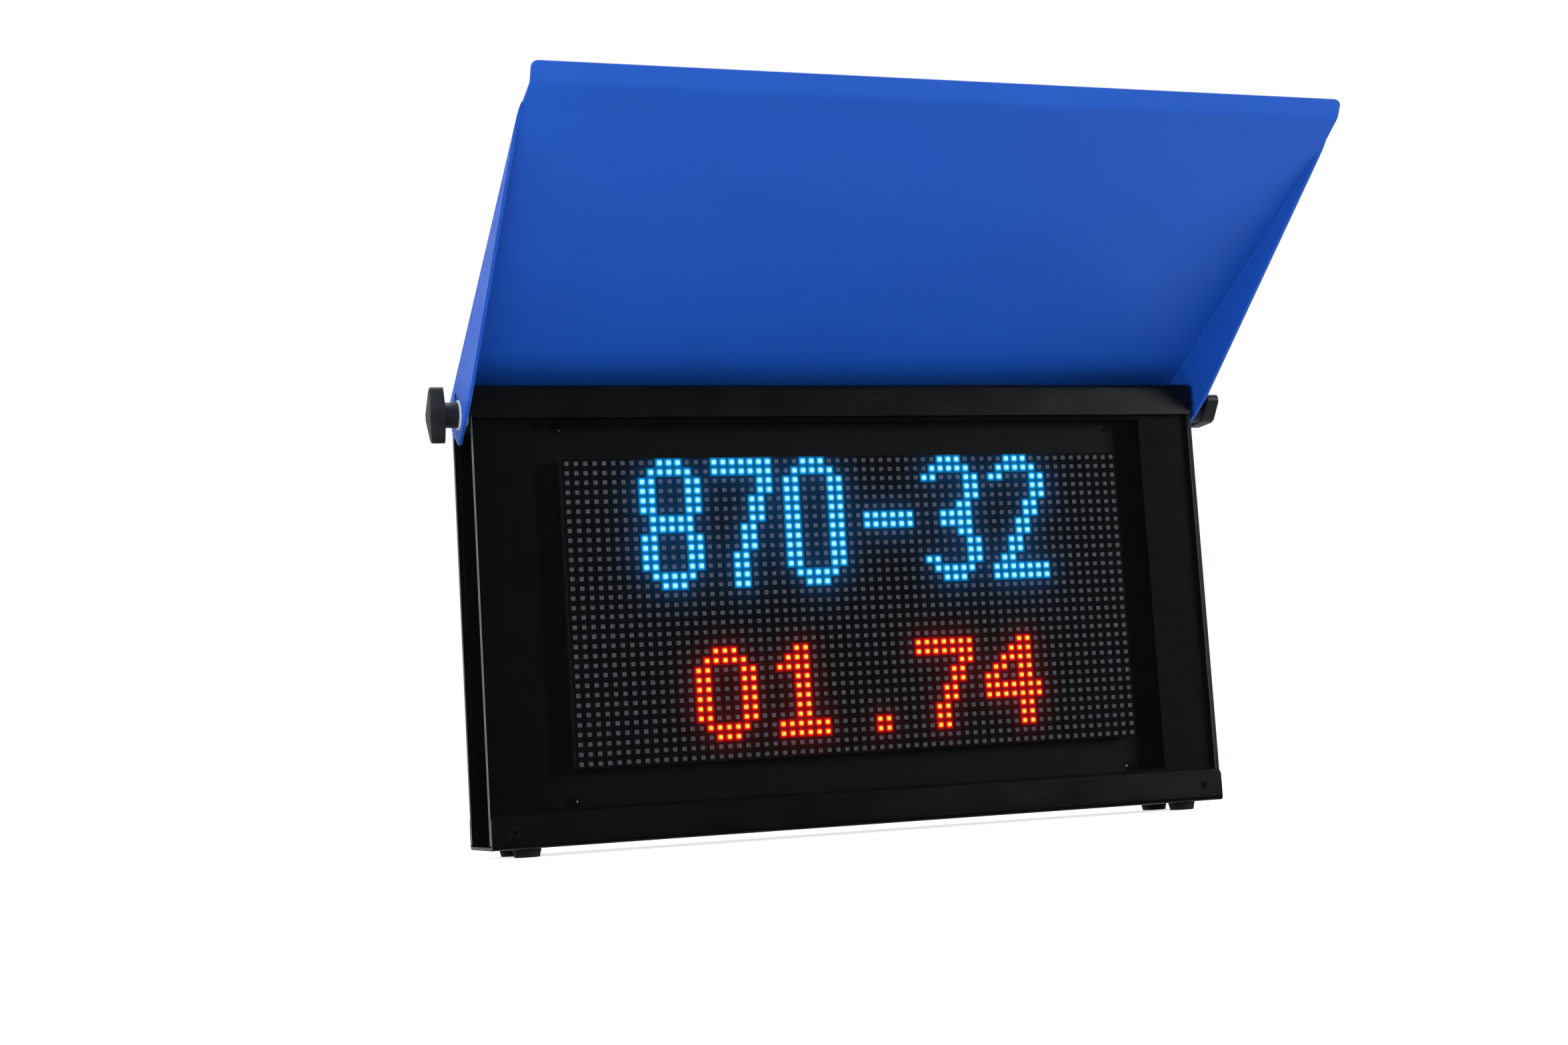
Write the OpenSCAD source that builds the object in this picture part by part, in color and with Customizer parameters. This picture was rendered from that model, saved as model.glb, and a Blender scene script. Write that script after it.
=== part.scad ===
// Portable LED display board with a folding visor.
// The origin is on the housing's underside, midway between the two pole sockets.
// +X runs to the right as seen from the front, the display faces -Y, and +Z is up.

/* [Housing] */
// Width over the ends of the two channels
housing_w = 497; // [490:1:520]
// Height of the housing without its feet
housing_h = 283; // [280:1:300]
// Depth over the channel flanges
housing_d = 67; // [66:1:76]
// Thickness of the channel sheet
channel_t = 2; // [1.5:0.5:2]
// Height of the channel flanges
flange_h = 20.8; // [20:0.1:23]
// Thickness of the clear front pane
pane_t = 5; // [4:0.5:5]
// Thickness of the rear panel
rear_t = 4; // [3:0.5:4]
// Distance of each side profile's web from the ends
side_recess = 20.5; // [18:0.5:21]

/* [Display] */
// Distance between neighbouring LEDs
led_pitch = 6; // [5.5:0.1:6]
// Number of LED columns
led_columns = 64; // [48:8:64]
// Number of LED rows
led_rows = 32; // [24:4:32]

/* [Visor] */
// Angle of the open visor above level
visor_angle = 28; // [0:1:28]
// Thickness of the visor sheet
visor_t = 2; // [1.5:0.5:2]
// Distance from the pivot to the start of the lip's bend
visor_reach = 254.5; // [220:0.5:256]
// Distance from the pivot to the panel's inner face
visor_gap = 24.8; // [24.8:0.1:26]
// Length of the lip past its bend
lip_l = 8.5; // [7:0.5:12]
// Angle between the lip and the panel
lip_angle = 34; // [20:1:45]

/* [Knobs] */
// Distance from a knob's axis to the tip of its wing
knob_r = 17.5; // [15:0.5:19]
// Direction of the left knob's wings, from level
knob_left_turn = 90; // [0:5:180]
// Direction of the right knob's wings, from level
knob_right_turn = 155; // [0:5:180]

/* [Base] */
// Distance between the two pole sockets
socket_spacing = 309.5; // [280:0.5:320]
// Distance between the left and right feet
foot_spacing_x = 449; // [430:1:455]
// Distance between the front and rear feet
foot_spacing_y = 38.5; // [36:0.5:40]
// Height of the rubber feet
foot_h = 5.2; // [4.5:0.1:6]

/* [Hidden] */
$fn = 64;

// Planes of the housing, from front to rear
end_x = housing_w / 2;
front_y = -housing_d / 2;
rear_y = housing_d / 2;
pane_y = front_y + channel_t;
window_t = 1;
window_y = pane_y + pane_t;
profile_y = window_y + window_t;
rear_panel_y = rear_y - channel_t - rear_t;
bend_r = 1;
panel_z0 = channel_t + bend_r;
panel_h = housing_h - 2 * panel_z0;

// Side profiles
profile_t = 2;
web_x = end_x - side_recess;
profile_flange = 18;
nut_notch_w = 8;
nut_notch_h = 8;

// Screws
m4_r = 2;
m4_clear_r = 2.25;
m4_tap_r = 2.05;
corner_screw_x = 234.4;
corner_screw_z = 10.2;
corner_screw_l = 9.8;
csk_r = 3.75;
csk_h = csk_r - m4_r;
button_head_r = 3.8;
button_head_h = 2.2;
pan_head_r = 3.7;
pan_head_h = 2.4;

// Display module
display_w = led_columns * led_pitch;
display_h = led_rows * led_pitch;
display_z = housing_h / 2;
led_face_y = front_y + 9;
mask_t = 1.8;
mask_y = led_face_y + 0.1;
board_t = 1.6;
board_y = mask_y + mask_t;
module_frame_y = board_y + board_t;
chassis_y = led_face_y + 12;
chassis_t = 1.5;
chassis_back_y = chassis_y + chassis_t;
chassis_w = 436;
chassis_h = 255;
chassis_screw_x = 192;
chassis_screw_dz = 115.8;
window_w = 421.4;
window_h = 237;
module_screw_x = 171;
module_screw_dz = 84;
connector_x = 150;
supply_x = 20;
connector_dz = 12;
connector_w = 26;
connector_h = 9;
connector_d = 13;

// Pivot of the visor
pivot_y = front_y + 17;
pivot_z = housing_h - 16.2;
stud_r = 3;
stud_bore_r = 3.05;
block_l = 31.5;
block_h = 23;
spacer_t = 2.6;
play = 0.1;
flange_in_x = end_x + spacer_t + play;
flange_out_x = flange_in_x + visor_t;
panel_flat_x = flange_in_x - bend_r - 0.3;
flange_runout = 13;
slot_r = 3.08;
slot_l = 16;
slot_lean = 10;
panel_back = 11;
lip_bend_r = 8;

// Knobs
washer_r = 9.4;
washer_t = 1.2;
hub_r = 8;
hub_l = 8.4;
hub_x = flange_out_x + play + washer_t;
head_x = hub_x + hub_l;
wing_end_r = 3.4;
wing_h = 8;
dome_h = 10.2;
stud_depth = 18.5;
stud_in_hub = 9;

// Rear controls
button_x = 150;
socket_x = 108;
control_z = 96;
button_travel = 1.5;
button_barrel_r = 7.9;
button_bezel_r = 9.4;
button_bezel_h = 1.8;
button_cap_r = 5.6;
button_depth = 21;
socket_barrel_r = 5.9;
socket_face_r = 8;

// Controller
controller_x = -185;
controller_z = 162;
controller_w = 130;
controller_h = 76;
controller_gap = 6;

// Power converter
converter_x = 40;
converter_z = 128;
converter_w = 84;
converter_d = 20;
converter_h = 52;

// Battery
battery_w = 150;
battery_d = 28;
battery_h = 66;
battery_y = 12.5;
bracket_t = 1.2;
bracket_w = 16;
bracket_foot = 15;
bracket_screw_x = battery_w / 2 + bracket_t + bracket_foot / 2;

// Pole inserts
insert_r = 5.9;
insert_h = 14;
insert_flange_r = 10;
insert_bore_r = 2.6;
insert_bore_l = 11;

// Routes of the leads, which stay inside the housing
lead_r = 2.2;
thin_lead_r = 1.4;
BATTERY_ROUTE = [[40, 1.2, 68.3], [40, 1.6, 80], [50, 3, 92], [64, 3, 104], [70, 1.2, 116], [70, 1, 127.7]];
DISPLAY_ROUTE = [[39.7, 1, 170], [29, 1, 170], [8, 1, 166], [-14, 3, 168], [-44, 4, 171], [-64.6, 4, 171]];
MODULE_ROUTE = [[39.8, -4, 150], [34, -3.8, 150.6], [27, -4.6, 153], [22, -7, 153.5], [20.6, -9.6, 153.5]];
CHARGE_ROUTE = [[108, 9, 97], [108, 9.6, 86], [104, 14, 71], [92, 22, 47], [84, 23.6, 42], [75.4, 23.6, 42]];
SWITCH_ROUTE = [[150, 8, 95], [150, 8, 106], [148, 6, 125], [142, 4, 142], [134, 1.4, 152], [124.4, 1, 152]];

SIDES = [-1, 1];

// ---------- shared shapes ----------

// Extrudes an outline drawn in (Y, Z) along X, centred on X = 0
module along_x(length) {
    rotate([90, 0, 90]) linear_extrude(height = length, center = true) children();
}

// Extrudes an outline drawn in (X, Z) towards +Y, from Y = 0
module along_y(length) {
    rotate([90, 0, 0]) mirror([0, 0, 1]) linear_extrude(height = length) children();
}

// Cylinder along Y that starts at the origin and runs towards +Y
module rod_y(r, length) {
    rotate([-90, 0, 0]) cylinder(r = r, h = length);
}

// Cylinder along X that starts at the origin and runs towards +X
module rod_x(r, length) {
    rotate([0, 90, 0]) cylinder(r = r, h = length);
}

// Rectangle centred on X, standing on Y = 0, whose two upper corners are rounded
module round_top(width, height, r) {
    translate([-width / 2, 0]) square([width, height - r]);
    translate([-width / 2 + r, 0]) square([width - 2 * r, height]);
    for (side = SIDES) translate([side * (width / 2 - r), height - r]) circle(r = r);
}

// What a corner of radius r loses, for a plate that is square to Y
module corner_waste(r, depth) {
    along_y(depth) difference() {
        square([r + 1, r + 1]);
        circle(r = r);
    }
}

// Copies its children to the four corners of a rectangle in (X, Z)
module four_corners(dx, dz, mid_z) {
    for (sx = SIDES, sz = SIDES) translate([sx * dx, 0, mid_z + sz * dz]) children();
}

// Cross recess of a screw whose head's face is at Z = 0
module cross_recess(size, depth) {
    for (turn = [0, 90]) rotate([0, 0, turn]) {
        translate([-size / 2, -0.5, -depth]) cube([size, 1, depth + 1]);
    }
}

// Countersunk M4 screw that points down, with its head's face at Z = 0
module countersunk_screw(length) {
    difference() {
        union() {
            translate([0, 0, -csk_h]) cylinder(r1 = m4_r, r2 = csk_r, h = csk_h);
            translate([0, 0, -length]) cylinder(r = m4_r, h = length - csk_h / 2);
        }
        cross_recess(4.2, 1.5);
    }
}

// Hole that a countersunk M4 screw sinks into, through a sheet of the given thickness
module countersunk_hole(sheet) {
    translate([0, 0, -csk_h]) cylinder(r1 = m4_r + 0.05, r2 = csk_r + 0.05, h = csk_h);
    translate([0, 0, -sheet - 1]) cylinder(r = m4_clear_r, h = sheet + 1 - csk_h / 2);
    cylinder(r = csk_r + 0.05, h = 1);
}

// Button head M4 screw that points down, with its head standing on Z = 0
module button_screw(length) {
    dome_r = (button_head_r * button_head_r + button_head_h * button_head_h) / (2 * button_head_h);
    difference() {
        union() {
            intersection() {
                cylinder(r = button_head_r, h = button_head_h);
                translate([0, 0, button_head_h - dome_r]) sphere(r = dome_r);
            }
            translate([0, 0, -length]) cylinder(r = m4_r, h = length);
        }
        translate([0, 0, button_head_h - 1.4]) cylinder(r = 1.45, h = 2, $fn = 6);
    }
}

// Pan head M4 screw that points down, with its head standing on Z = 0
module pan_screw(length) {
    difference() {
        union() {
            cylinder(r = pan_head_r, h = pan_head_h - 0.6);
            cylinder(r = pan_head_r - 0.6, h = pan_head_h);
            translate([0, 0, -length]) cylinder(r = m4_r, h = length);
        }
        translate([0, 0, pan_head_h]) cross_recess(4.2, 1.5);
    }
}

// Points of an arc of n steps
function arc(centre, r, from, to, n) =
    [for (i = [0:n]) centre + r * [cos(from + (to - from) * i / n), sin(from + (to - from) * i / n)]];

// Points of a smooth route through the given points, with n steps between neighbours
function route(p, n) = [
    for (i = [0:len(p) - 2], k = [0:n - 1]) let (
        t = k / n,
        a = p[max(i - 1, 0)],
        b = p[i],
        c = p[i + 1],
        d = p[min(i + 2, len(p) - 1)]
    ) b + t * (c - a) / 2 + t * t * (2 * a - 5 * b + 4 * c - d) / 2 + t * t * t * (3 * b - a - 3 * c + d) / 2,
    p[len(p) - 1]
];

// Round lead along a route that never runs straight along Y
module lead(points, r) {
    sides = 8;
    path = route(points, 4);
    last = len(path) - 1;
    function ahead(i) = let (v = path[min(i + 1, last)] - path[max(i - 1, 0)]) v / norm(v);
    function ring(i) = let (
        u = cross(ahead(i), [0, 1, 0]) / norm(cross(ahead(i), [0, 1, 0])),
        v = cross(ahead(i), u)
    ) [for (s = [0:sides - 1]) path[i] + r * (cos(360 * s / sides) * u + sin(360 * s / sides) * v)];
    polyhedron(
        points = [for (i = [0:last]) each ring(i)],
        faces = [
            [for (s = [0:sides - 1]) s],
            [for (s = [sides - 1:-1:0]) last * sides + s],
            for (i = [0:last - 1], s = [0:sides - 1]) [
                i * sides + s,
                (i + 1) * sides + s,
                (i + 1) * sides + (s + 1) % sides,
                i * sides + (s + 1) % sides
            ]
        ]
    );
}

// ---------- housing ----------

// U-shaped channel that opens upwards, with its web on Z = 0
module channel_body() {
    outer_r = channel_t + bend_r;
    flange_end_r = 3.6;
    difference() {
        along_x(housing_w) difference() {
            mirror([0, 1]) translate([0, -flange_h]) round_top(housing_d, flange_h, outer_r);
            mirror([0, 1]) translate([0, -flange_h - 1])
                round_top(housing_d - 2 * channel_t, flange_h + 1 - channel_t, bend_r);
        }
        for (side = SIDES) mirror([side < 0 ? 1 : 0, 0, 0])
            translate([end_x - flange_end_r, front_y - 1, flange_h - flange_end_r])
                corner_waste(flange_end_r, housing_d + 2);
    }
}

module base_channel() {
    color("#16171a") difference() {
        channel_body();
        for (turn = [0, 180]) rotate([0, 0, turn]) corner_screw_places()
            translate([0, front_y, 0]) rotate([90, 0, 0]) countersunk_hole(channel_t);
        for (side = SIDES) {
            translate([side * socket_spacing / 2, 0, -1]) cylinder(r = insert_r + 0.05, h = channel_t + 2);
            translate([side * bracket_screw_x, battery_y, 0])
                rotate([180, 0, 0]) countersunk_hole(channel_t);
        }
        foot_places() translate([0, 0, -1]) cylinder(r = m4_clear_r, h = channel_t + 2);
    }
}

module top_channel() {
    color("#16171a") difference() {
        translate([0, 0, housing_h]) rotate([180, 0, 0]) channel_body();
        pivot_screw_places() countersunk_hole(channel_t);
    }
}

module side_profile(side) {
    height = housing_h - 2 * channel_t - 0.4;
    z0 = channel_t + 0.2;
    depth = rear_panel_y - profile_y;
    color("#121315") mirror([side < 0 ? 1 : 0, 0, 0]) difference() {
        translate([web_x - profile_t, profile_y, z0]) cube([profile_t + profile_flange, depth, height]);
        translate([web_x, profile_y + profile_t, z0 - 1])
            cube([profile_flange + 1, depth - 2 * profile_t, height + 2]);
        translate([corner_screw_x, profile_y - 1, corner_screw_z]) rod_y(m4_tap_r, depth + 2);
        for (y = SIDES) translate([web_x - profile_t - 1, y * foot_spacing_y / 2 - nut_notch_w / 2, 0])
            cube([profile_t + 1.6, nut_notch_w, nut_notch_h]);
    }
}

module side_profile_left() { side_profile(-1); }

module side_profile_right() { side_profile(1); }

// Where the base channel is screwed to the side profiles, at its two ends
module corner_screw_places() {
    for (side = SIDES) translate([side * corner_screw_x, 0, corner_screw_z]) children();
}

// Full-width plate that the channel flanges hold, with a hole at each corner screw
module held_plate(y, thickness) {
    difference() {
        translate([-end_x, y, panel_z0]) cube([housing_w, thickness, panel_h]);
        corner_screw_places() translate([0, y - 1, 0]) rod_y(m4_clear_r, thickness + 2);
    }
}

module front_pane() {
    color([0.35, 0.38, 0.42, 0.35]) held_plate(pane_y, pane_t);
}

module window_plate() {
    color("#101113") difference() {
        held_plate(window_y, window_t);
        translate([-window_w / 2, window_y - 1, display_z - window_h / 2])
            cube([window_w, window_t + 2, window_h]);
    }
}

module rear_panel() {
    color("#16171a") difference() {
        held_plate(rear_panel_y, rear_t);
        chassis_corners() translate([0, rear_panel_y - 1, 0]) rod_y(m4_clear_r, rear_t + 2);
        translate([button_x, rear_panel_y - 1, control_z]) rod_y(button_barrel_r + 0.1, rear_t + 2);
        translate([socket_x, rear_panel_y - 1, control_z]) rod_y(socket_barrel_r + 0.1, rear_t + 2);
    }
}

// One countersunk screw at each end of the base channel, on the front
module corner_screw_row() {
    corner_screw_places() translate([0, front_y, 0]) rotate([90, 0, 0]) countersunk_screw(corner_screw_l);
}

module front_corner_screws() { color("#3c3e42") corner_screw_row(); }

module rear_corner_screws() { color("#3c3e42") mirror([0, 1, 0]) corner_screw_row(); }

// ---------- display ----------

module chassis_corners() {
    four_corners(chassis_screw_x, chassis_screw_dz, display_z) children();
}

// The six screws that hold the LED module to the chassis plate
module module_screw_places() {
    for (x = [-1, 0, 1], dz = SIDES)
        translate([x * module_screw_x, 0, display_z + dz * module_screw_dz]) children();
}

// The two data headers and, between them, the supply header
module connector_places() {
    for (x = [-connector_x, supply_x, connector_x]) translate([x, 0, display_z + connector_dz]) children();
}

module chassis_plate() {
    lip = 8;
    color("#101113") difference() {
        translate([-chassis_w / 2, chassis_y, display_z - chassis_h / 2]) difference() {
            cube([chassis_w, chassis_t + lip, chassis_h]);
            translate([-1, chassis_t, chassis_t]) cube([chassis_w + 2, lip + 1, chassis_h - 2 * chassis_t]);
        }
        chassis_corners() translate([0, chassis_y - 1, 0]) rod_y(m4_clear_r, chassis_t + 2);
        module_screw_places() translate([0, chassis_y - 1, 0]) rod_y(m4_clear_r, chassis_t + 2);
        connector_places() translate([-connector_w / 2 - 4, chassis_y - 1, -8])
            cube([connector_w + 8, chassis_t + 2, 16]);
    }
}

module chassis_spacers() {
    color("#c9b36a") chassis_corners() translate([0, chassis_back_y, 0]) difference() {
        rod_y(5, rear_panel_y - chassis_back_y);
        translate([0, -1, 0]) rod_y(m4_tap_r, rear_panel_y - chassis_back_y + 2);
    }
}

module chassis_screws() {
    color("#2b2c2f") chassis_corners() translate([0, chassis_y, 0]) rotate([90, 0, 0]) button_screw(8);
}

module rear_panel_screws() {
    color("#2b2c2f") chassis_corners()
        translate([0, rear_panel_y + rear_t, 0]) rotate([-90, 0, 0]) button_screw(12);
}

module module_mask() {
    color("#0d0d0e") translate([-display_w / 2, mask_y, display_z - display_h / 2])
        cube([display_w, mask_t, display_h]);
}

module module_board() {
    inset = 0.5;
    color("#123a24") translate([-display_w / 2 + inset, board_y, display_z - display_h / 2 + inset])
        cube([display_w - 2 * inset, board_t, display_h - 2 * inset]);
}

// Moulded grid that backs the LED board, with a boss at each module screw
module module_frame() {
    depth = chassis_y - module_frame_y;
    rib = 4;
    bays_x = 4;
    bays_z = 2;
    bay_w = (display_w - rib) / bays_x - rib;
    bay_h = (display_h - rib) / bays_z - rib;
    boss_r = 5;
    color("#17181a") difference() {
        union() {
            translate([-display_w / 2, module_frame_y, display_z - display_h / 2]) difference() {
                cube([display_w, depth, display_h]);
                for (i = [0:bays_x - 1], k = [0:bays_z - 1])
                    translate([rib + i * (bay_w + rib), -1, rib + k * (bay_h + rib)])
                        cube([bay_w, depth + 2, bay_h]);
            }
            module_screw_places() translate([0, module_frame_y, 0]) rod_y(boss_r, depth);
        }
        module_screw_places() translate([0, chassis_y - 6, 0]) rod_y(m4_tap_r, 7);
    }
}

module module_connectors() {
    wall = 1.2;
    floor_t = 4;
    color("#1b1c1f") connector_places()
        translate([-connector_w / 2, module_frame_y, -connector_h / 2]) difference() {
            cube([connector_w, connector_d, connector_h]);
            translate([wall, floor_t, wall])
                cube([connector_w - 2 * wall, connector_d, connector_h - 2 * wall]);
        }
}

module module_screws() {
    color("#8b8d90") module_screw_places()
        translate([0, chassis_back_y, 0]) rotate([-90, 0, 0]) pan_screw(6.5);
}

// ---------- electronics ----------

module controller_corners() {
    inset = 5;
    for (x = [inset, controller_w - inset], z = [inset, controller_h - inset])
        translate([controller_x + x, chassis_back_y, controller_z + z]) children();
}

module controller_spacers() {
    color("#e8e6df") controller_corners() rod_y(3, controller_gap);
}

module controller_board() {
    color("#0f4a2c") translate([controller_x, chassis_back_y + controller_gap, controller_z])
        cube([controller_w, board_t, controller_h]);
}

module controller_chips() {
    face_y = chassis_back_y + controller_gap + board_t;
    color("#1a1b1e") translate([controller_x, face_y, controller_z]) {
        translate([52, 0, 34]) cube([22, 2, 22]);
        translate([88, 0, 36]) cube([14, 1.5, 18]);
        translate([22, 0, 36]) cube([10, 1.5, 16]);
        translate([22, 0, 3]) cube([connector_w, connector_h, connector_h]);
        translate([96, 0, 4]) cube([24, 11, 9]);
        for (x = [66, 78]) translate([x, 0, 12]) rod_y(4, 11);
    }
}

module ribbon_cable() {
    width = 20;
    tape = 1;
    module_end_y = module_frame_y + connector_d;
    controller_end_y = chassis_back_y + controller_gap + board_t + 9;
    fold_y = 13;
    low_z = display_z + connector_dz;
    top_z = controller_z + 8;
    color("#9a9ca1") translate([-connector_x - width / 2, 0, 0]) {
        translate([0, module_end_y, low_z - tape / 2]) cube([width, fold_y - module_end_y, tape]);
        translate([0, fold_y - tape, low_z - tape / 2]) cube([width, tape, top_z - low_z + tape]);
        translate([0, controller_end_y, top_z - tape / 2])
            cube([width, fold_y - controller_end_y, tape]);
    }
}

module power_converter() {
    fins = 11;
    slot_w = 4;
    slot_d = 6;
    pitch = (converter_w - slot_w) / fins;
    color("#a9abae") translate([converter_x, chassis_back_y, converter_z]) difference() {
        cube([converter_w, converter_d, converter_h]);
        for (i = [1:fins - 1]) translate([i * pitch, converter_d - slot_d, -1])
            cube([slot_w, slot_d + 1, converter_h + 2]);
    }
}

module battery_pack() {
    color("#2f62a8") translate([-battery_w / 2, battery_y - battery_d / 2, channel_t])
        cube([battery_w, battery_d, battery_h]);
}

module battery_bracket() {
    span = battery_w + 2 * bracket_t;
    top = battery_h + bracket_t;
    color("#8b8d90") translate([0, battery_y - bracket_w / 2, channel_t]) difference() {
        union() {
            translate([-span / 2, 0, 0]) cube([span, bracket_w, top]);
            translate([-span / 2 - bracket_foot, 0, 0]) cube([span + 2 * bracket_foot, bracket_w, bracket_t]);
        }
        translate([-battery_w / 2, -1, -1]) cube([battery_w, bracket_w + 2, battery_h + 1]);
        for (side = SIDES) translate([side * bracket_screw_x, bracket_w / 2, -1])
            cylinder(r = m4_tap_r, h = bracket_t + 2);
    }
}

module battery_screws() {
    color("#3c3e42") for (side = SIDES) translate([side * bracket_screw_x, battery_y, 0])
        rotate([180, 0, 0]) countersunk_screw(8);
}

module battery_lead() { color("#a11f1f") lead(BATTERY_ROUTE, lead_r); }

module display_lead() { color("#22242a") lead(DISPLAY_ROUTE, lead_r); }

module module_lead() { color("#a11f1f") lead(MODULE_ROUTE, thin_lead_r); }

module charge_lead() { color("#22242a") lead(CHARGE_ROUTE, lead_r); }

module switch_lead() { color("#22242a") lead(SWITCH_ROUTE, lead_r); }

// ---------- base ----------

module pole_insert(side) {
    color("#b9bbbe") translate([side * socket_spacing / 2, 0, 0]) difference() {
        union() {
            cylinder(r = insert_r, h = insert_h);
            translate([0, 0, channel_t]) cylinder(r = insert_flange_r, h = 2);
        }
        translate([0, 0, -1]) cylinder(r = insert_bore_r, h = insert_bore_l + 1);
    }
}

module pole_insert_left() { pole_insert(-1); }

module pole_insert_right() { pole_insert(1); }

module foot_places() {
    for (sx = SIDES, sy = SIDES) translate([sx * foot_spacing_x / 2, sy * foot_spacing_y / 2, 0]) children();
}

module rubber_feet() {
    color("#0c0c0d") foot_places() difference() {
        translate([0, 0, -foot_h]) cylinder(r1 = 7.75, r2 = 9, h = foot_h);
        translate([0, 0, -foot_h - 1]) cylinder(r = m4_clear_r, h = foot_h + 2);
        translate([0, 0, -foot_h - 1]) cylinder(r = 4.4, h = 4);
    }
}

module foot_screws() {
    color("#8b8d90") foot_places() translate([0, 0, 3 - foot_h]) rotate([180, 0, 0])
        difference() {
            union() {
                cylinder(r = 3.9, h = 2);
                translate([0, 0, -9]) cylinder(r = m4_r, h = 9);
            }
            translate([0, 0, 2]) cross_recess(4, 1.3);
        }
}

module foot_nuts() {
    color("#8b8d90") foot_places() translate([0, 0, channel_t]) difference() {
        cylinder(r = 4.04, h = 3.2, $fn = 6);
        translate([0, 0, -1]) cylinder(r = m4_tap_r, h = 6);
    }
}

// ---------- rear controls ----------

module button_housing() {
    face_y = rear_panel_y + rear_t;
    color("#b9bbbe") translate([button_x, face_y, control_z]) difference() {
        union() {
            rod_y(button_bezel_r, button_bezel_h);
            translate([0, -button_depth, 0]) rod_y(button_barrel_r, button_depth + 1);
        }
        translate([0, -6, 0]) rod_y(button_cap_r + 0.08, 10);
    }
}

module button_nut() {
    color("#b9bbbe") translate([button_x, rear_panel_y - 3, control_z]) difference() {
        rotate([-90, 0, 0]) cylinder(r = 11.5, h = 3, $fn = 6);
        translate([0, -1, 0]) rod_y(button_barrel_r + 0.1, 5);
    }
}

module button_cap() {
    face_y = rear_panel_y + rear_t;
    depth = 6 - button_travel - 0.2;
    color("#d4d6d8") translate([button_x, face_y - depth, control_z])
        rod_y(button_cap_r, depth + button_bezel_h + 0.8);
}

module charge_socket() {
    face_y = rear_panel_y + rear_t;
    color("#1b1c1f") translate([socket_x, face_y, control_z]) union() {
        difference() {
            union() {
                rod_y(socket_face_r, 1.6);
                translate([0, -20, 0]) rod_y(socket_barrel_r, 21);
            }
            translate([0, -9, 0]) rod_y(2.8, 12);
        }
        translate([0, -10, 0]) rod_y(1.05, 9.5);
    }
}

module socket_nut() {
    color("#b9bbbe") translate([socket_x, rear_panel_y - 2.5, control_z]) difference() {
        rotate([-90, 0, 0]) cylinder(r = 8.6, h = 2.5, $fn = 6);
        translate([0, -1, 0]) rod_y(socket_barrel_r + 0.1, 5);
    }
}

// ---------- visor pivot ----------

module pivot_block(side) {
    color("#1d1e21") mirror([side < 0 ? 1 : 0, 0, 0]) difference() {
        translate([web_x, profile_y + profile_t, housing_h - channel_t - block_h])
            cube([side_recess, block_l, block_h]);
        translate([web_x - 1, pivot_y, pivot_z]) rod_x(stud_bore_r, side_recess + 2);
        for (y = [-8, 3]) translate([238.5, y, housing_h - 16]) cylinder(r = m4_tap_r, h = 20);
    }
}

module pivot_block_left() { pivot_block(-1); }

module pivot_block_right() { pivot_block(1); }

module pivot_screw_places() {
    for (side = SIDES, y = [-8, 3]) translate([side * 238.5, y, housing_h]) children();
}

module pivot_block_screws() {
    color("#3c3e42") pivot_screw_places() countersunk_screw(14);
}

module pivot_spacers() {
    color("#e8e6df") for (side = SIDES) mirror([side < 0 ? 1 : 0, 0, 0])
        translate([end_x, pivot_y, pivot_z]) difference() {
            rod_x(7, spacer_t);
            translate([-1, 0, 0]) rod_x(stud_bore_r, spacer_t + 2);
        }
}

// ---------- visor ----------

// Side view of the folded sheet with the pivot at the origin and the panel level.
// The flange is deep at the pivot and runs out into the panel before the lip.
module visor_side() {
    above = visor_gap + visor_t + 5;
    flange_end = flange_runout - visor_reach;
    polygon(concat(
        [[flange_end, above], [flange_end, visor_gap + visor_t - 0.3], [-29, -10.7]],
        arc([13.2, -9.5], 3.2, -90, -15, 4),
        [[20.3, -2.6], [24.6, 0.3], [25, 1.9], [23, 21.9], [18, above]]
    ));
}

// U-shaped section of the folded sheet, open downwards
module visor_section() {
    depth = 44;
    difference() {
        translate([0, visor_gap + visor_t - depth]) round_top(2 * flange_out_x, depth, bend_r + visor_t);
        translate([0, visor_gap - depth]) round_top(2 * flange_in_x, depth, bend_r);
    }
}

// Flat end of the panel, past the flanges, which widens from the lip to the folds
module visor_front() {
    fold_x = flange_in_x;
    overlap = 14;
    shape = [
        [panel_flat_x, 0], [fold_x, flange_runout + 0.5],
        [panel_flat_x, flange_runout + 2], [panel_flat_x, flange_runout + overlap]
    ];
    translate([0, -visor_reach, visor_gap]) linear_extrude(height = visor_t)
        polygon(concat(shape, [for (i = [len(shape) - 1:-1:0]) [-shape[i][0], shape[i][1]]]));
}

// Free edge of the panel, bent away from the housing, with rounded corners
module visor_lip() {
    corner = 4;
    half = panel_flat_x;
    overlap = 1.5;
    reach = lip_l + lip_bend_r * sin(lip_angle);
    bend = [0, lip_bend_r];
    along = [-cos(lip_angle), sin(lip_angle)];
    under = [-sin(lip_angle), -cos(lip_angle)];
    end = bend + lip_l * along;
    translate([0, -visor_reach, visor_gap + visor_t]) intersection() {
        along_x(2 * half) polygon(concat(
            [[overlap, -visor_t], [overlap, 0]],
            arc(bend, lip_bend_r, -90, -90 - lip_angle, 5),
            [end + lip_bend_r * under, end + (lip_bend_r + visor_t) * under],
            arc(bend, lip_bend_r + visor_t, -90 - lip_angle, -90, 5)
        ));
        rotate([-lip_angle, 0, 0]) translate([0, 0, -8]) linear_extrude(height = 12) {
            translate([-half - 1, -reach + corner]) square([2 * half + 2, reach]);
            translate([-half + corner, -reach - 1]) square([2 * (half - corner), reach]);
            for (side = SIDES) translate([side * (half - corner), -reach + corner]) circle(r = corner);
        }
    }
}

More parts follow.
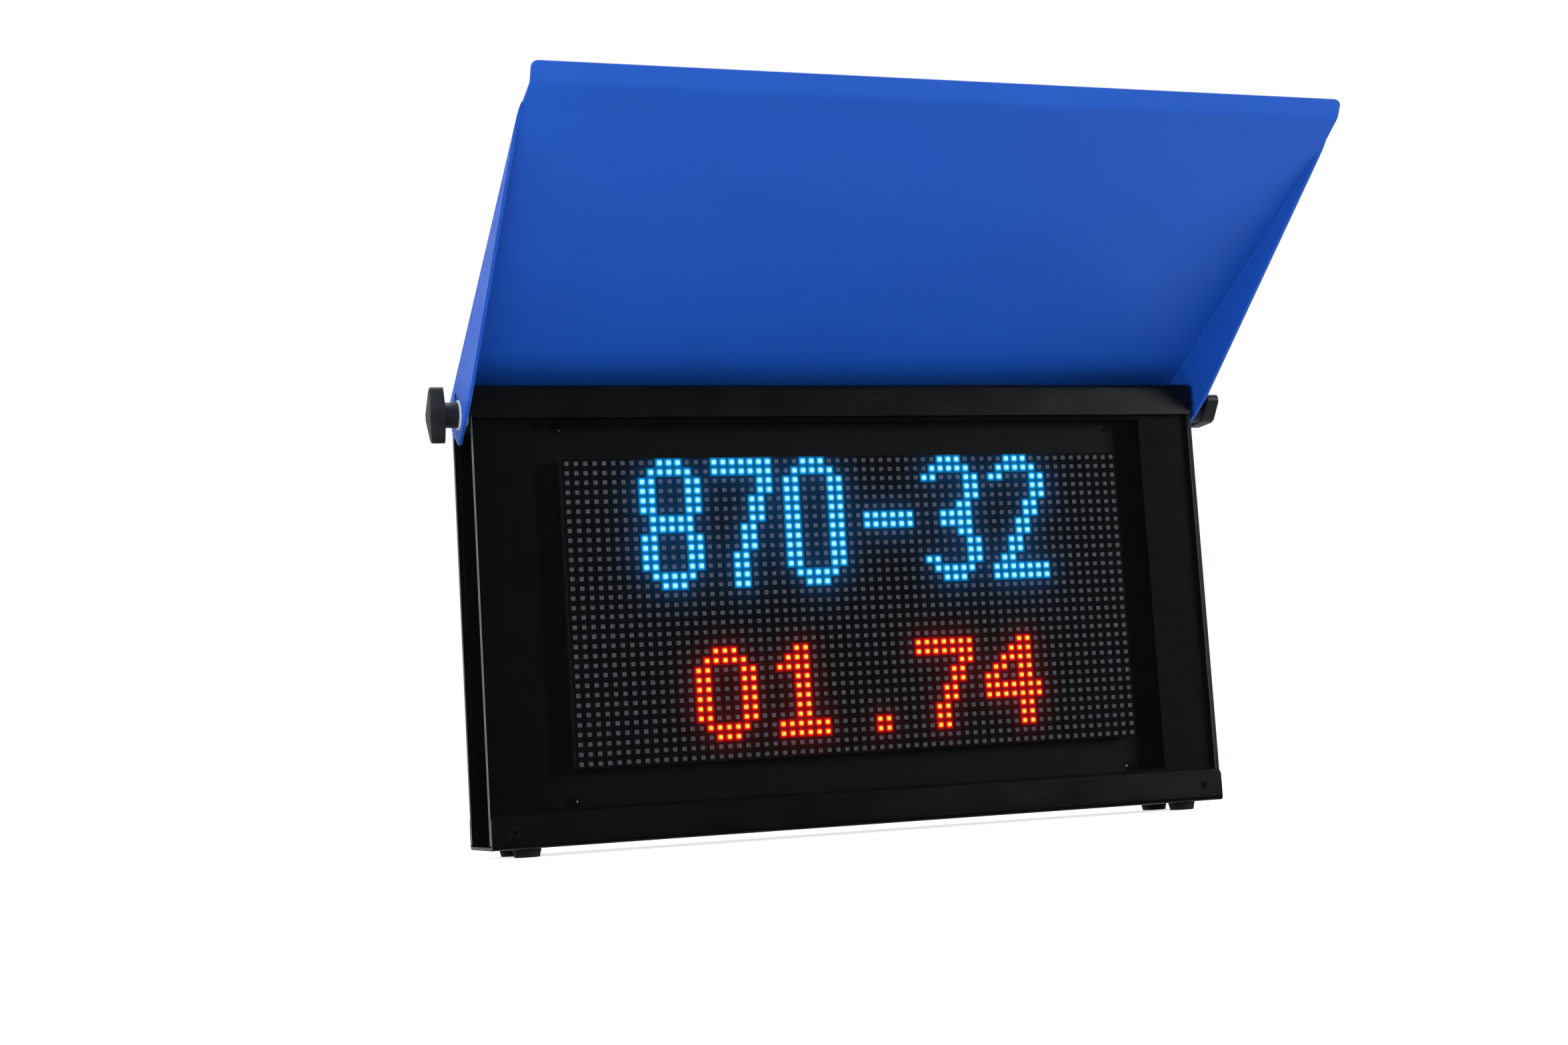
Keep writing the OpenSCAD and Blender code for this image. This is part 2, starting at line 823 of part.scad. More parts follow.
module visor_cover() {
    color("#1f55b0") translate([0, pivot_y, pivot_z]) rotate([-visor_angle, 0, 0]) {
        difference() {
            intersection() {
                translate([0, 40, 0]) rotate([90, 0, 0]) linear_extrude(height = visor_reach + 50)
                    visor_section();
                along_x(2 * flange_out_x + 2) visor_side();
            }
            translate([-panel_flat_x, panel_back, 8]) cube([2 * panel_flat_x, 30, 30]);
            rotate([-slot_lean, 0, 0]) translate([-flange_out_x - 1, 0, 0]) {
                rod_x(slot_r, 2 * flange_out_x + 2);
                translate([0, 0, slot_l]) rod_x(slot_r, 2 * flange_out_x + 2);
                translate([0, -slot_r, 0]) cube([2 * flange_out_x + 2, 2 * slot_r, slot_l]);
            }
        }
        visor_front();
        visor_lip();
    }
}

// ---------- knobs ----------

// Round middle that runs in straight flanks into two round wing ends
module wing_outline() {
    middle_r = hub_r + 0.5;
    reach = knob_r - wing_end_r;
    lean = acos((middle_r - wing_end_r) / reach);
    polygon(concat(
        arc([reach, 0], wing_end_r, -lean, lean, 10),
        arc([0, 0], middle_r, lean, 180 - lean, 6),
        arc([-reach, 0], wing_end_r, 180 - lean, 180 + lean, 10),
        arc([0, 0], middle_r, 180 + lean, 360 - lean, 6)
    ));
}

// Two-winged head with a domed face, along +Z from its inner face at Z = 0
module knob_head() {
    dome_r = (knob_r * knob_r + (dome_h - wing_h) * (dome_h - wing_h)) / (2 * (dome_h - wing_h));
    intersection() {
        linear_extrude(height = dome_h + 1) wing_outline();
        translate([0, 0, dome_h - dome_r]) sphere(r = dome_r);
    }
}

module knob(side, turn) {
    color("#202225") knob_place(side) difference() {
        union() {
            cylinder(r = hub_r, h = hub_l);
            translate([0, 0, hub_l]) rotate([0, 0, turn]) knob_head();
        }
        translate([0, 0, -1]) cylinder(r = stud_r, h = stud_in_hub + 1);
    }
}

// Puts what is drawn along +Z from the hub's end on the left or right pivot.
// On both sides +X of the drawing then points to the rear of the housing.
module knob_place(side) {
    mirror([side < 0 ? 1 : 0, 0, 0]) translate([hub_x, pivot_y, pivot_z])
        rotate([90, 0, 90]) children();
}

module knob_stud() {
    color("#b9bbbe") translate([0, 0, -stud_depth]) cylinder(r = stud_r, h = stud_depth + stud_in_hub);
}

module knob_washer() {
    color("#dfe3e4") translate([0, 0, -washer_t]) difference() {
        cylinder(r = washer_r, h = washer_t);
        translate([0, 0, -1]) cylinder(r = stud_bore_r, h = washer_t + 2);
    }
}

module knob_left() { knob(-1, knob_left_turn); }

module knob_stud_left() { knob_place(-1) knob_stud(); }

module knob_washer_left() { knob_place(-1) knob_washer(); }

module knob_right() { knob(1, knob_right_turn); }

module knob_stud_right() { knob_place(1) knob_stud(); }

module knob_washer_right() { knob_place(1) knob_washer(); }

// ---------- what is drawn ----------

base_channel();
top_channel();
side_profile_left();
side_profile_right();
front_pane();
window_plate();
rear_panel();
front_corner_screws();
rear_corner_screws();
chassis_plate();
chassis_spacers();
chassis_screws();
rear_panel_screws();
module_mask();
module_board();
module_frame();
module_connectors();
module_screws();
controller_board();
controller_chips();
controller_spacers();
ribbon_cable();
power_converter();
battery_pack();
battery_bracket();
battery_screws();
battery_lead();
display_lead();
module_lead();
charge_lead();
switch_lead();
pole_insert_left();
pole_insert_right();
rubber_feet();
foot_screws();
foot_nuts();
button_housing();
button_nut();
button_cap();
charge_socket();
socket_nut();
pivot_block_left();
pivot_block_right();
pivot_block_screws();
pivot_spacers();
visor_cover();
knob_left();
knob_stud_left();
knob_washer_left();
knob_right();
knob_stud_right();
knob_washer_right();
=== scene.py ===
"""Looks of a portable LED display board with a folding sun visor.

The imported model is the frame. The sheet parts are its own solids with eased edges, the
display's mask and lamps, the knobs and the turned parts are modelled here, and every other
solid keeps its shape and gets a finish. Sizes are in millimetres until mm() turns them
to metres.
"""

import logging
import math
from collections.abc import Sequence
from dataclasses import dataclass, field
from enum import Enum

import bmesh
import bpy
import numpy as np
from mathutils import Matrix, Vector


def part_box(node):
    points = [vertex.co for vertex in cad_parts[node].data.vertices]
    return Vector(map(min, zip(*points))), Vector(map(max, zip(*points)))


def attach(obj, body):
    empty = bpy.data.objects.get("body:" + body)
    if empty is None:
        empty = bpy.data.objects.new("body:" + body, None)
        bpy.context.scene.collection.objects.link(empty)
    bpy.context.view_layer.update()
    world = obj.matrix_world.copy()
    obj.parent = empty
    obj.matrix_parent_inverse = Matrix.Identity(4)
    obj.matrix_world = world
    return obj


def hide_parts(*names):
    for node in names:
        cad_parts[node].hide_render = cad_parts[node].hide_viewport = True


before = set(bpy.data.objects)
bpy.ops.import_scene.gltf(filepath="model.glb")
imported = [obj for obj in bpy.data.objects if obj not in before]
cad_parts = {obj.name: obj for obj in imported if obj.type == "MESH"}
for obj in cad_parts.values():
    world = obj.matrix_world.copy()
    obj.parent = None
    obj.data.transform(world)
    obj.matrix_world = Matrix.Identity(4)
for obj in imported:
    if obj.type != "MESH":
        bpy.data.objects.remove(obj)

LOG = logging.getLogger("display_board")

Tree = bpy.types.NodeTree
Node = bpy.types.Node
Socket = bpy.types.NodeSocket
Piece = bpy.types.Object
Shape = bmesh.types.BMesh
Colour = tuple[float, float, float, float]
Profile = list[tuple[float, float]]

WHITE: Colour = (1.0, 1.0, 1.0, 1.0)


def mm(value: float) -> float:
    """Millimetres as metres."""
    return value / 1000


def linear(code: str) -> Colour:
    """A linear colour from an sRGB one.

    Args:
        code: six hex digits after a hash sign.

    Returns:
        Red, green, blue and an alpha of one.
    """
    parts = [int(code[i : i + 2], 16) / 255 for i in (1, 3, 5)]
    red, green, blue = (
        c / 12.92 if c <= 0.04045 else ((c + 0.055) / 1.055) ** 2.4 for c in parts
    )
    return red, green, blue, 1.0


def feed(node: Node, links: dict[str | int, object]) -> None:
    """Gives a node its inputs.

    Args:
        node: the node that gets them.
        links: an output to link or a value to set, for each input's name or number.
    """
    for name, value in links.items():
        if isinstance(value, Socket):
            node.id_data.links.new(value, node.inputs[name])
        else:
            node.inputs[name].default_value = value


def add_node(
    tree: Tree,
    kind: str,
    settings: dict[str, object] | None = None,
    links: dict[str | int, object] | None = None,
) -> Node:
    """Adds one node with its settings and its inputs.

    Args:
        tree: the node tree that gets it.
        kind: the node's type name, without the ShaderNode that it starts with.
        settings: attributes to set on the node.
        links: an output to link or a value to set, for each input's name or number.

    Returns:
        The new node.
    """
    made = tree.nodes.new(f"ShaderNode{kind}")
    for name, value in (settings or {}).items():
        setattr(made, name, value)
    feed(made, links or {})
    return made


# ---------- finishes ----------


@dataclass(frozen=True)
class Finish:
    """What a surface is made of, and how its maker left it."""

    name: str
    colour: str
    roughness: float = 0.5
    metallic: float = 0.0
    ior: float = 1.5
    specular: float = 0.5

    def material(self) -> bpy.types.Material:
        """The finish's material, made the first time it is asked for."""
        found = bpy.data.materials.get(self.name)
        if found is not None:
            return found
        made = bpy.data.materials.new(self.name)
        made.use_nodes = True
        tree = made.node_tree
        tree.nodes.clear()
        shader = add_node(
            tree,
            "BsdfPrincipled",
            links={
                "Base Color": linear(self.colour),
                "Roughness": self.roughness,
                "Metallic": self.metallic,
                "IOR": self.ior,
                "Specular IOR Level": self.specular,
            },
        )
        shown = self.texture(tree, shader)
        add_node(tree, "OutputMaterial", links={"Surface": shown})
        return made

    def texture(self, tree: Tree, shader: Node) -> Socket:
        """Gives the shader its pattern and returns the output that the surface shows."""
        return shader.outputs[0]

    def place(self, tree: Tree) -> Socket:
        """Where on the piece a point lies, in metres."""
        return add_node(tree, "TexCoord").outputs["Object"]

    def drift(
        self,
        tree: Tree,
        where: Socket,
        size_mm: float,
        low: float,
        high: float,
        detail: float = 3.0,
    ) -> Socket:
        """A value that wanders over the surface.

        Args:
            tree: the material's nodes.
            where: the place on the piece.
            size_mm: how far apart its hills lie.
            low: the value in the hollows.
            high: the value on the hills.
            detail: how many finer octaves it holds.

        Returns:
            The wandering value.
        """
        cloud = add_node(
            tree, "TexNoise", links={"Vector": where, "Scale": 1000 / size_mm, "Detail": detail}
        )
        return add_node(
            tree,
            "MapRange",
            links={
                "Value": cloud.outputs["Fac"],
                "From Min": 0.3,
                "From Max": 0.7,
                "To Min": low,
                "To Max": high,
            },
        ).outputs["Result"]

    def tint(
        self, tree: Tree, share: Socket, first: Socket | Colour, second: Socket | Colour
    ) -> Socket:
        """Mixes a second colour over the first by share."""
        mixed = add_node(tree, "Mix", {"data_type": "RGBA"}, {0: share, 6: first, 7: second})
        return mixed.outputs[2]

    def relief(
        self, tree: Tree, height: Socket, depth_um: float, under: Socket | None = None
    ) -> Socket:
        """A normal that is raised by a height.

        Args:
            tree: the material's nodes.
            height: from zero to one.
            depth_um: what a height of one stands for, in thousandths of a millimetre.
            under: a coarser normal that this one lies on.

        Returns:
            The bent normal.
        """
        links: dict[str | int, object] = {
            "Height": height, "Distance": depth_um * 1e-6, "Strength": 1.0
        }
        if under is not None:
            links["Normal"] = under
        return add_node(tree, "Bump", links=links).outputs["Normal"]

    def glow_within(
        self, shader: Node, weight: float, radius: tuple[float, float, float], depth_mm: float
    ) -> None:
        """Lets light seep through the skin.

        Args:
            shader: the shader that gets it.
            weight: the share of the light that enters.
            radius: how far red, green and blue travel, against each other.
            depth_mm: how deep a radius of one reaches.
        """
        named = {"Weight": weight, "Radius": radius, "Scale": mm(depth_mm)}
        feed(shader, {f"Subsurface {name}": value for name, value in named.items()})

    def specks(self, tree: Tree, where: Socket, spacing_mm: float, speck_mm: float) -> Socket:
        """One on scattered specks of dust, and zero between them.

        Args:
            tree: the material's nodes.
            where: the place on the piece.
            spacing_mm: how far apart the places for specks lie.
            speck_mm: how wide the largest speck is.

        Returns:
            The share of each point that dust covers.
        """
        cells = add_node(tree, "TexVoronoi", links={"Vector": where, "Scale": 1000 / spacing_mm})
        chance = add_node(
            tree,
            "Math",
            {"operation": "MULTIPLY"},
            {0: cells.outputs["Color"], 1: speck_mm / 2 / spacing_mm},
        )
        return add_node(
            tree,
            "Math",
            {"operation": "LESS_THAN"},
            {0: cells.outputs["Distance"], 1: chance.outputs[0]},
        ).outputs[0]


@dataclass(frozen=True)
class StagePaper(Finish):
    """White background paper, lit from behind so that it looks as white as the backdrop."""

    behind: float = 0.72

    def texture(self, tree: Tree, shader: Node) -> Socket:
        """Light from behind the paper, which only the camera sees."""
        seen = add_node(tree, "LightPath").outputs["Is Camera Ray"]
        glow = add_node(tree, "Math", {"operation": "MULTIPLY"}, {0: seen, 1: self.behind})
        feed(shader, {"Emission Color": WHITE, "Emission Strength": glow.outputs[0]})
        return shader.outputs[0]


@dataclass(frozen=True)
class PowderCoat(Finish):
    """Polyester powder coat, sprayed on sheet aluminium and baked.

    It flows out to a slight orange peel, so reflections have soft, wavy edges, and its
    gloss drifts a little where the film is thicker. Handling leaves dust and faint rubs.
    """

    peel_mm: float = 1.6
    peel_um: float = 9.0
    grain_mm: float = 0.5
    grain_share: float = 0.16
    gloss_mm: float = 38.0
    gloss_swing: float = 0.045
    rub_mm: float = 5.0
    rub_share: float = 0.05
    cloud_mm: float = 70.0
    dust: str = "#6e6e6a"
    dust_share: float = 0.5
    dust_every_mm: float = 8.5
    dust_mm: float = 0.7
    shade: str = "#000000"
    shade_share: float = 0.0

    def texture(self, tree: Tree, shader: Node) -> Socket:
        """Orange peel, drifting gloss, dust specks and faint rubs."""
        where = self.place(tree)
        # The peel's real hills are 1 to 2 mm apart. The finer grain is drawn coarser to show.
        hills = self.drift(tree, where, self.peel_mm, 0.0, 1.0, 1.0)
        grain = self.drift(tree, where, self.grain_mm, 0.0, 1.0, 1.0)
        coarse = self.relief(tree, hills, self.peel_um)
        fine = self.relief(tree, grain, self.peel_um * self.grain_share, coarse)
        low, high = self.roughness - self.gloss_swing, self.roughness + self.gloss_swing
        gloss = self.drift(tree, where, self.gloss_mm, low, high)
        stretched = add_node(
            tree,
            "Mapping",
            links={"Vector": where, "Rotation": (0.2, 0.5, 0.35), "Scale": (0.12, 1.0, 1.0)},
        )
        rubs = self.drift(tree, stretched.outputs[0], self.rub_mm, -0.7, 0.6, 5.0)
        rubbed = add_node(
            tree,
            "Math",
            {"operation": "MULTIPLY_ADD", "use_clamp": True},
            {0: rubs, 1: self.rub_share, 2: gloss},
        )
        clouds = self.drift(tree, where, self.cloud_mm, 0.0, self.shade_share)
        body = self.tint(tree, clouds, linear(self.colour), linear(self.shade))
        fallen = self.specks(tree, where, self.dust_every_mm, self.dust_mm)
        cover = add_node(tree, "Math", {"operation": "MULTIPLY"}, {0: fallen, 1: self.dust_share})
        coat = self.tint(tree, cover.outputs[0], body, linear(self.dust))
        feed(shader, {"Base Color": coat, "Roughness": rubbed.outputs[0], "Normal": fine})
        return shader.outputs[0]


@dataclass(frozen=True)
class ClearAcrylic(Finish):
    """Cast acrylic sheet with its polished faces: clear, faintly smoked, and a little dusty."""

    haze: float = 0.0015
    haze_mm: float = 24.0
    flow_mm: float = 55.0
    flow_um: float = 40.0
    dust: str = "#b9bcc0"
    dust_share: float = 0.05
    dust_every_mm: float = 14.0
    dust_mm: float = 0.4

    def texture(self, tree: Tree, shader: Node) -> Socket:
        """Clear straight through, mirrored by Fresnel from outside, with a thin film of dust."""
        where = self.place(tree)
        clear = add_node(tree, "BsdfTransparent", links={"Color": linear(self.colour)})
        flow = self.drift(tree, where, self.flow_mm, 0.0, 1.0, 1.0)
        mirror = add_node(
            tree,
            "BsdfGlossy",
            links={
                "Color": WHITE,
                "Roughness": self.roughness,
                "Normal": self.relief(tree, flow, self.flow_um),
            },
        )
        rim = add_node(tree, "Fresnel", links={"IOR": self.ior})
        back = add_node(tree, "NewGeometry").outputs["Backfacing"]
        outside = add_node(tree, "Math", {"operation": "SUBTRACT"}, {0: 1.0, 1: back})
        share = add_node(
            tree, "Math", {"operation": "MULTIPLY"}, {0: rim.outputs[0], 1: outside.outputs[0]}
        )
        sheet = add_node(
            tree,
            "MixShader",
            links={0: share.outputs[0], 1: clear.outputs[0], 2: mirror.outputs[0]},
        )
        film = self.drift(tree, where, self.haze_mm, self.haze * 0.6, self.haze * 1.5, 6.0)
        fallen = self.specks(tree, where, self.dust_every_mm, self.dust_mm)
        cover = add_node(
            tree,
            "Math",
            {"operation": "MULTIPLY_ADD", "use_clamp": True},
            {0: fallen, 1: self.dust_share, 2: film},
        )
        outer = add_node(
            tree, "Math", {"operation": "MULTIPLY"}, {0: cover.outputs[0], 1: outside.outputs[0]}
        )
        feed(shader, {"Base Color": linear(self.dust), "Roughness": 0.9})
        return add_node(
            tree,
            "MixShader",
            links={0: outer.outputs[0], 1: sheet.outputs[0], 2: shader.outputs[0]},
        ).outputs[0]


@dataclass(frozen=True)
class SawnAcrylic(Finish):
    """The sawn edge of an acrylic sheet: frosted pale grey, with fine upright tooth marks."""

    tooth_mm: float = 0.9
    tooth_um: float = 25.0
    frost: str = "#3d4146"

    def texture(self, tree: Tree, shader: Node) -> Socket:
        """Tooth marks that run across the edge, frost, and light that seeps through."""
        where = self.place(tree)
        marks = add_node(
            tree,
            "TexWave",
            {"wave_type": "BANDS", "bands_direction": "Z"},
            {
                "Vector": where,
                "Scale": 1000 / self.tooth_mm / 20,
                "Distortion": 2.0,
                "Detail": 2.0,
            },
        )
        frost = self.drift(tree, where, 6.0, 0.0, 0.35, 4.0)
        body = self.tint(tree, frost, linear(self.colour), linear(self.frost))
        teeth = self.relief(tree, marks.outputs["Fac"], self.tooth_um)
        feed(shader, {"Base Color": body, "Normal": teeth})
        self.glow_within(shader, 0.35, (1.0, 1.0, 1.0), 3.0)
        return shader.outputs[0]


@dataclass(frozen=True)
class Moulded(Finish):
    """Injection-moulded plastic from a spark-eroded or smooth steel mould.

    A spark-eroded mould leaves an even, fine grain that spreads highlights, and the
    skin is a touch glossier where the melt cooled last.
    """

    grain_mm: float = 0.45
    grain_um: float = 6.0
    wear: str = "#4a4c50"
    wear_share: float = 0.15

    def texture(self, tree: Tree, shader: Node) -> Socket:
        """Mould grain, gloss that drifts, and a paler bloom."""
        where = self.place(tree)
        # A real spark-eroded grain is 0.1 mm, which is drawn at 0.45 mm so that it shows.
        grain = self.drift(tree, where, self.grain_mm, 0.0, 1.0, 2.0)
        gloss = self.drift(tree, where, 9.0, self.roughness - 0.06, self.roughness + 0.06)
        bloom = self.drift(tree, where, 5.0, 0.0, self.wear_share, 5.0)
        body = self.tint(tree, bloom, linear(self.colour), linear(self.wear))
        rough = self.relief(tree, grain, self.grain_um)
        feed(shader, {"Base Color": body, "Roughness": gloss, "Normal": rough})
        return shader.outputs[0]


@dataclass(frozen=True)
class MilkyNylon(Moulded):
    """Natural nylon, turned or moulded: milky, faintly blue, and lit from within."""

    def texture(self, tree: Tree, shader: Node) -> Socket:
        """Moulded skin with light that seeps through it."""
        shown = super().texture(tree, shader)
        self.glow_within(shader, 0.6, (0.9, 1.0, 1.1), 1.2)
        return shown


@dataclass(frozen=True)
class PlatedSteel(Finish):
    """Cold-headed steel hardware, zinc plated or blackened: even, with a fine satin tooth."""

    stain: str = "#3a3b3d"
    stain_share: float = 0.25

    def texture(self, tree: Tree, shader: Node) -> Socket:
        """Uneven plating and a fine tooth from tumbling."""
        where = self.place(tree)
        patches = self.drift(tree, where, 2.2, 0.0, self.stain_share, 4.0)
        tooth = self.drift(tree, where, 0.35, 0.0, 1.0, 2.0)
        gloss = self.drift(tree, where, 1.6, self.roughness - 0.07, self.roughness + 0.09)
        body = self.tint(tree, patches, linear(self.colour), linear(self.stain))
        scored = self.relief(tree, tooth, 2.5)
        feed(shader, {"Base Color": body, "Roughness": gloss, "Normal": scored})
        return shader.outputs[0]


class Grain(Enum):
    """The direction in which a metal was drawn or extruded, as noise scales for X, Y and Z."""

    ALONG_X = (0.02, 1.0, 1.0)
    ALONG_Y = (1.0, 0.02, 1.0)
    ALONG_Z = (1.0, 1.0, 0.02)


@dataclass(frozen=True)
class DrawnMetal(Finish):
    """Bare metal that was drawn, rolled or extruded: fine straight lines along its grain."""

    grain: Grain = Grain.ALONG_Z
    line_mm: float = 0.5
    shade: str = "#6f7174"

    def texture(self, tree: Tree, shader: Node) -> Socket:
        """Die lines along the grain that shade, dull and score the metal."""
        stretched = add_node(
            tree, "Mapping", links={"Vector": self.place(tree), "Scale": self.grain.value}
        ).outputs[0]
        lines = self.drift(tree, stretched, self.line_mm, 0.0, 1.0, 4.0)
        share = self.drift(tree, stretched, self.line_mm * 3, 0.0, 0.45, 3.0)
        gloss = self.drift(
            tree, stretched, self.line_mm, self.roughness - 0.08, self.roughness + 0.1
        )
        body = self.tint(tree, share, linear(self.colour), linear(self.shade))
        scored = self.relief(tree, lines, 3.0)
        feed(shader, {"Base Color": body, "Roughness": gloss, "Normal": scored})
        return shader.outputs[0]


@dataclass(frozen=True)
class TurnedSteel(Finish):
    """Stainless steel faced on a lathe: fine rings about the axis of the part.

    The axis is along Y and passes through centre_x and centre_z, in millimetres.
    """

    centre_x: float = 0.0
    centre_z: float = 0.0
    ring_mm: float = 0.3

    def texture(self, tree: Tree, shader: Node) -> Socket:
        """Rings left by the tool, centred on the part's own axis."""
        centred = add_node(
            tree,
            "Mapping",
            {"vector_type": "POINT"},
            {
                "Vector": self.place(tree),
                "Location": (-mm(self.centre_x), 0.0, -mm(self.centre_z)),
            },
        ).outputs[0]
        rings = add_node(
            tree,
            "TexWave",
            {"wave_type": "RINGS", "rings_direction": "Y"},
            {
                "Vector": centred,
                "Scale": 1000 / self.ring_mm / 20,
                "Distortion": 0.6,
                "Detail": 1.0,
            },
        ).outputs["Fac"]
        smear = self.drift(tree, centred, 4.0, 0.0, 0.3, 3.0)
        body = self.tint(tree, smear, linear(self.colour), linear("#77797c"))
        feed(shader, {"Base Color": body, "Normal": self.relief(tree, rings, 4.0)})
        return shader.outputs[0]


@dataclass(frozen=True)
class SolderMask(Finish):
    """Glass-epoxy board under green solder mask: copper tracks show as paler, raised lines."""

    track_mm: float = 1.3

    def texture(self, tree: Tree, shader: Node) -> Socket:
        """Tracks that run square to each other, and the weave under them."""
        where = self.place(tree)
        tracks = add_node(
            tree,
            "TexVoronoi",
            {"distance": "MANHATTAN", "feature": "F1"},
            {"Vector": where, "Scale": 1000 / self.track_mm / 4, "Randomness": 0.6},
        ).outputs["Distance"]
        edge = add_node(tree, "Math", {"operation": "PINGPONG"}, {0: tracks, 1: 0.14})
        raised = add_node(
            tree, "MapRange", links={"Value": edge.outputs[0], "From Min": 0.05, "From Max": 0.08}
        ).outputs["Result"]
        body = self.tint(tree, raised, linear(self.colour), linear("#2c7a4a"))
        feed(shader, {"Base Color": body, "Normal": self.relief(tree, raised, 35.0)})
        return shader.outputs[0]


@dataclass(frozen=True)
class FlatRibbon(Finish):
    """Grey vinyl ribbon cable: round conductors side by side, 1.27 mm apart."""

    wire_mm: float = 1.27

    def texture(self, tree: Tree, shader: Node) -> Socket:
        """A rounded rise for each conductor across the ribbon's width, with painted shade in the
        grooves.
        """
        across = add_node(tree, "SeparateXYZ", links={0: self.place(tree)}).outputs["X"]
        wave = add_node(
            tree, "Math", {"operation": "PINGPONG"}, {0: across, 1: mm(self.wire_mm) / 2}
        )
        ridge_and_groove_shade = add_node(
            tree,
            "MapRange",
            {"interpolation_type": "SMOOTHSTEP"},
            {"Value": wave.outputs[0], "From Max": mm(self.wire_mm) / 2},
        ).outputs["Result"]
        # Painted shade: the grooves between conductors are coloured darker grey.
        body = self.tint(tree, ridge_and_groove_shade, linear("#55575c"), linear(self.colour))
        feed(shader, {"Base Color": body, "Normal": self.relief(tree, ridge_and_groove_shade, 250.0)})
        return shader.outputs[0]


@dataclass(frozen=True)
class LampMask(Moulded):
    """Matt black polycarbonate mask round the lamps, with their light painted on it as glow.

    The painted glow nearest a lit lamp fills its square of the grid, and the face attribute "lit"
    holds its colour. The painted glow further out is in the point attribute "spill".
    """

    pitch_mm: float = 6.0
    centre_z: float = 141.5
    near_mm: float = 1.6
    near_end_mm: float = 2.9
    near_strength: float = 2.4
    far_strength: float = 0.4

    def texture(self, tree: Tree, shader: Node) -> Socket:
        """Moulded skin, with the light that lit lamps throw on it painted on as glow."""
        shown = super().texture(tree, shader)
        away = off_centre(tree, self.place(tree), self.pitch_mm, self.centre_z)
        near = add_node(
            tree,
            "MapRange",
            {"interpolation_type": "SMOOTHSTEP"},
            {
                "Value": away,
                "From Min": mm(self.near_mm),
                "From Max": mm(self.near_end_mm),
                "To Min": self.near_strength,
                "To Max": self.far_strength,
            },
        ).outputs["Result"]
        lit = add_node(tree, "Attribute", {"attribute_name": "lit"})
        spill = add_node(tree, "Attribute", {"attribute_name": "spill"})
        close = add_node(
            tree, "VectorMath", {"operation": "SCALE"}, {0: lit.outputs["Color"], "Scale": near}
        )
        glow = add_node(
            tree,
            "VectorMath",
            {"operation": "ADD"},
            {0: close.outputs[0], 1: spill.outputs["Color"]},
        )
        # Painted light: the mask glows by emission where lit lamps would light it.
        feed(shader, {"Emission Color": glow.outputs[0], "Emission Strength": 1.0})
        return shown


@dataclass(frozen=True)
class LampBody(Moulded):
    """An unlit surface-mounted lamp: grey resin, with lit neighbours' light painted on as glow.
    """

    catch: float = 1.3

    def texture(self, tree: Tree, shader: Node) -> Socket:
        """Moulded skin, with the light that spills from lit neighbours painted on as glow."""
        shown = super().texture(tree, shader)
        spill = add_node(tree, "Attribute", {"attribute_name": "spill"})
        light = spill.outputs["Color"]
        # Painted light: the off lamp glows by emission with its neighbours' spilt light.
        feed(shader, {"Emission Color": light, "Emission Strength": self.catch})
        return shown


@dataclass(frozen=True)
class LitLamp(Finish):
    """A lit lamp: clear resin whose middle is almost white and whose rim keeps the hue."""

    rim: str = "#00a8e0"
    pitch_mm: float = 6.0
    centre_z: float = 141.5
    strength: float = 1.15
    core_mm: float = 0.9
    fade_mm: float = 2.6
    resin: str = "#202226"

    def texture(self, tree: Tree, shader: Node) -> Socket:
        """Light that fades from the middle of each lamp to its rim."""
        away = off_centre(tree, self.place(tree), self.pitch_mm, self.centre_z)
        fade = add_node(
            tree,
            "MapRange",
            {"interpolation_type": "SMOOTHSTEP"},
            {"Value": away, "From Min": mm(self.core_mm), "From Max": mm(self.fade_mm)},
        ).outputs["Result"]
        light = self.tint(tree, fade, linear(self.colour), linear(self.rim))
        feed(shader, {"Emission Color": light, "Emission Strength": self.strength})
        feed(shader, {"Base Color": linear(self.resin)})
        return shader.outputs[0]


def off_centre(tree: Tree, where: Socket, pitch_mm: float, centre_z: float) -> Socket:
    """How far a point lies from the middle of its lamp's square, measured squarely.

    Args:
        tree: the material's nodes.
        where: the place on the piece.
        pitch_mm: the distance between lamps.
        centre_z: the height of the display's middle.

    Returns:
        The distance in metres, with rounded squares for lines of equal distance.
    """
    half = mm(pitch_mm) / 2
    parts = add_node(tree, "SeparateXYZ", links={0: where})
    powers = []
    for axis, start in (("X", half), ("Z", mm(centre_z) + half)):
        moved = add_node(
            tree, "Math", {"operation": "SUBTRACT"}, {0: parts.outputs[axis], 1: start}
        )
        wrapped = add_node(
            tree, "Math", {"operation": "WRAP"}, {0: moved.outputs[0], 1: half, 2: -half}
        )
        size = add_node(tree, "Math", {"operation": "ABSOLUTE"}, {0: wrapped.outputs[0]})
        powers.append(
            add_node(tree, "Math", {"operation": "POWER"}, {0: size.outputs[0], 1: 3.0})
        )
    total = add_node(
        tree, "Math", {"operation": "ADD"}, {0: powers[0].outputs[0], 1: powers[1].outputs[0]}
    )
    return add_node(
        tree, "Math", {"operation": "POWER"}, {0: total.outputs[0], 1: 1 / 3}
    ).outputs[0]


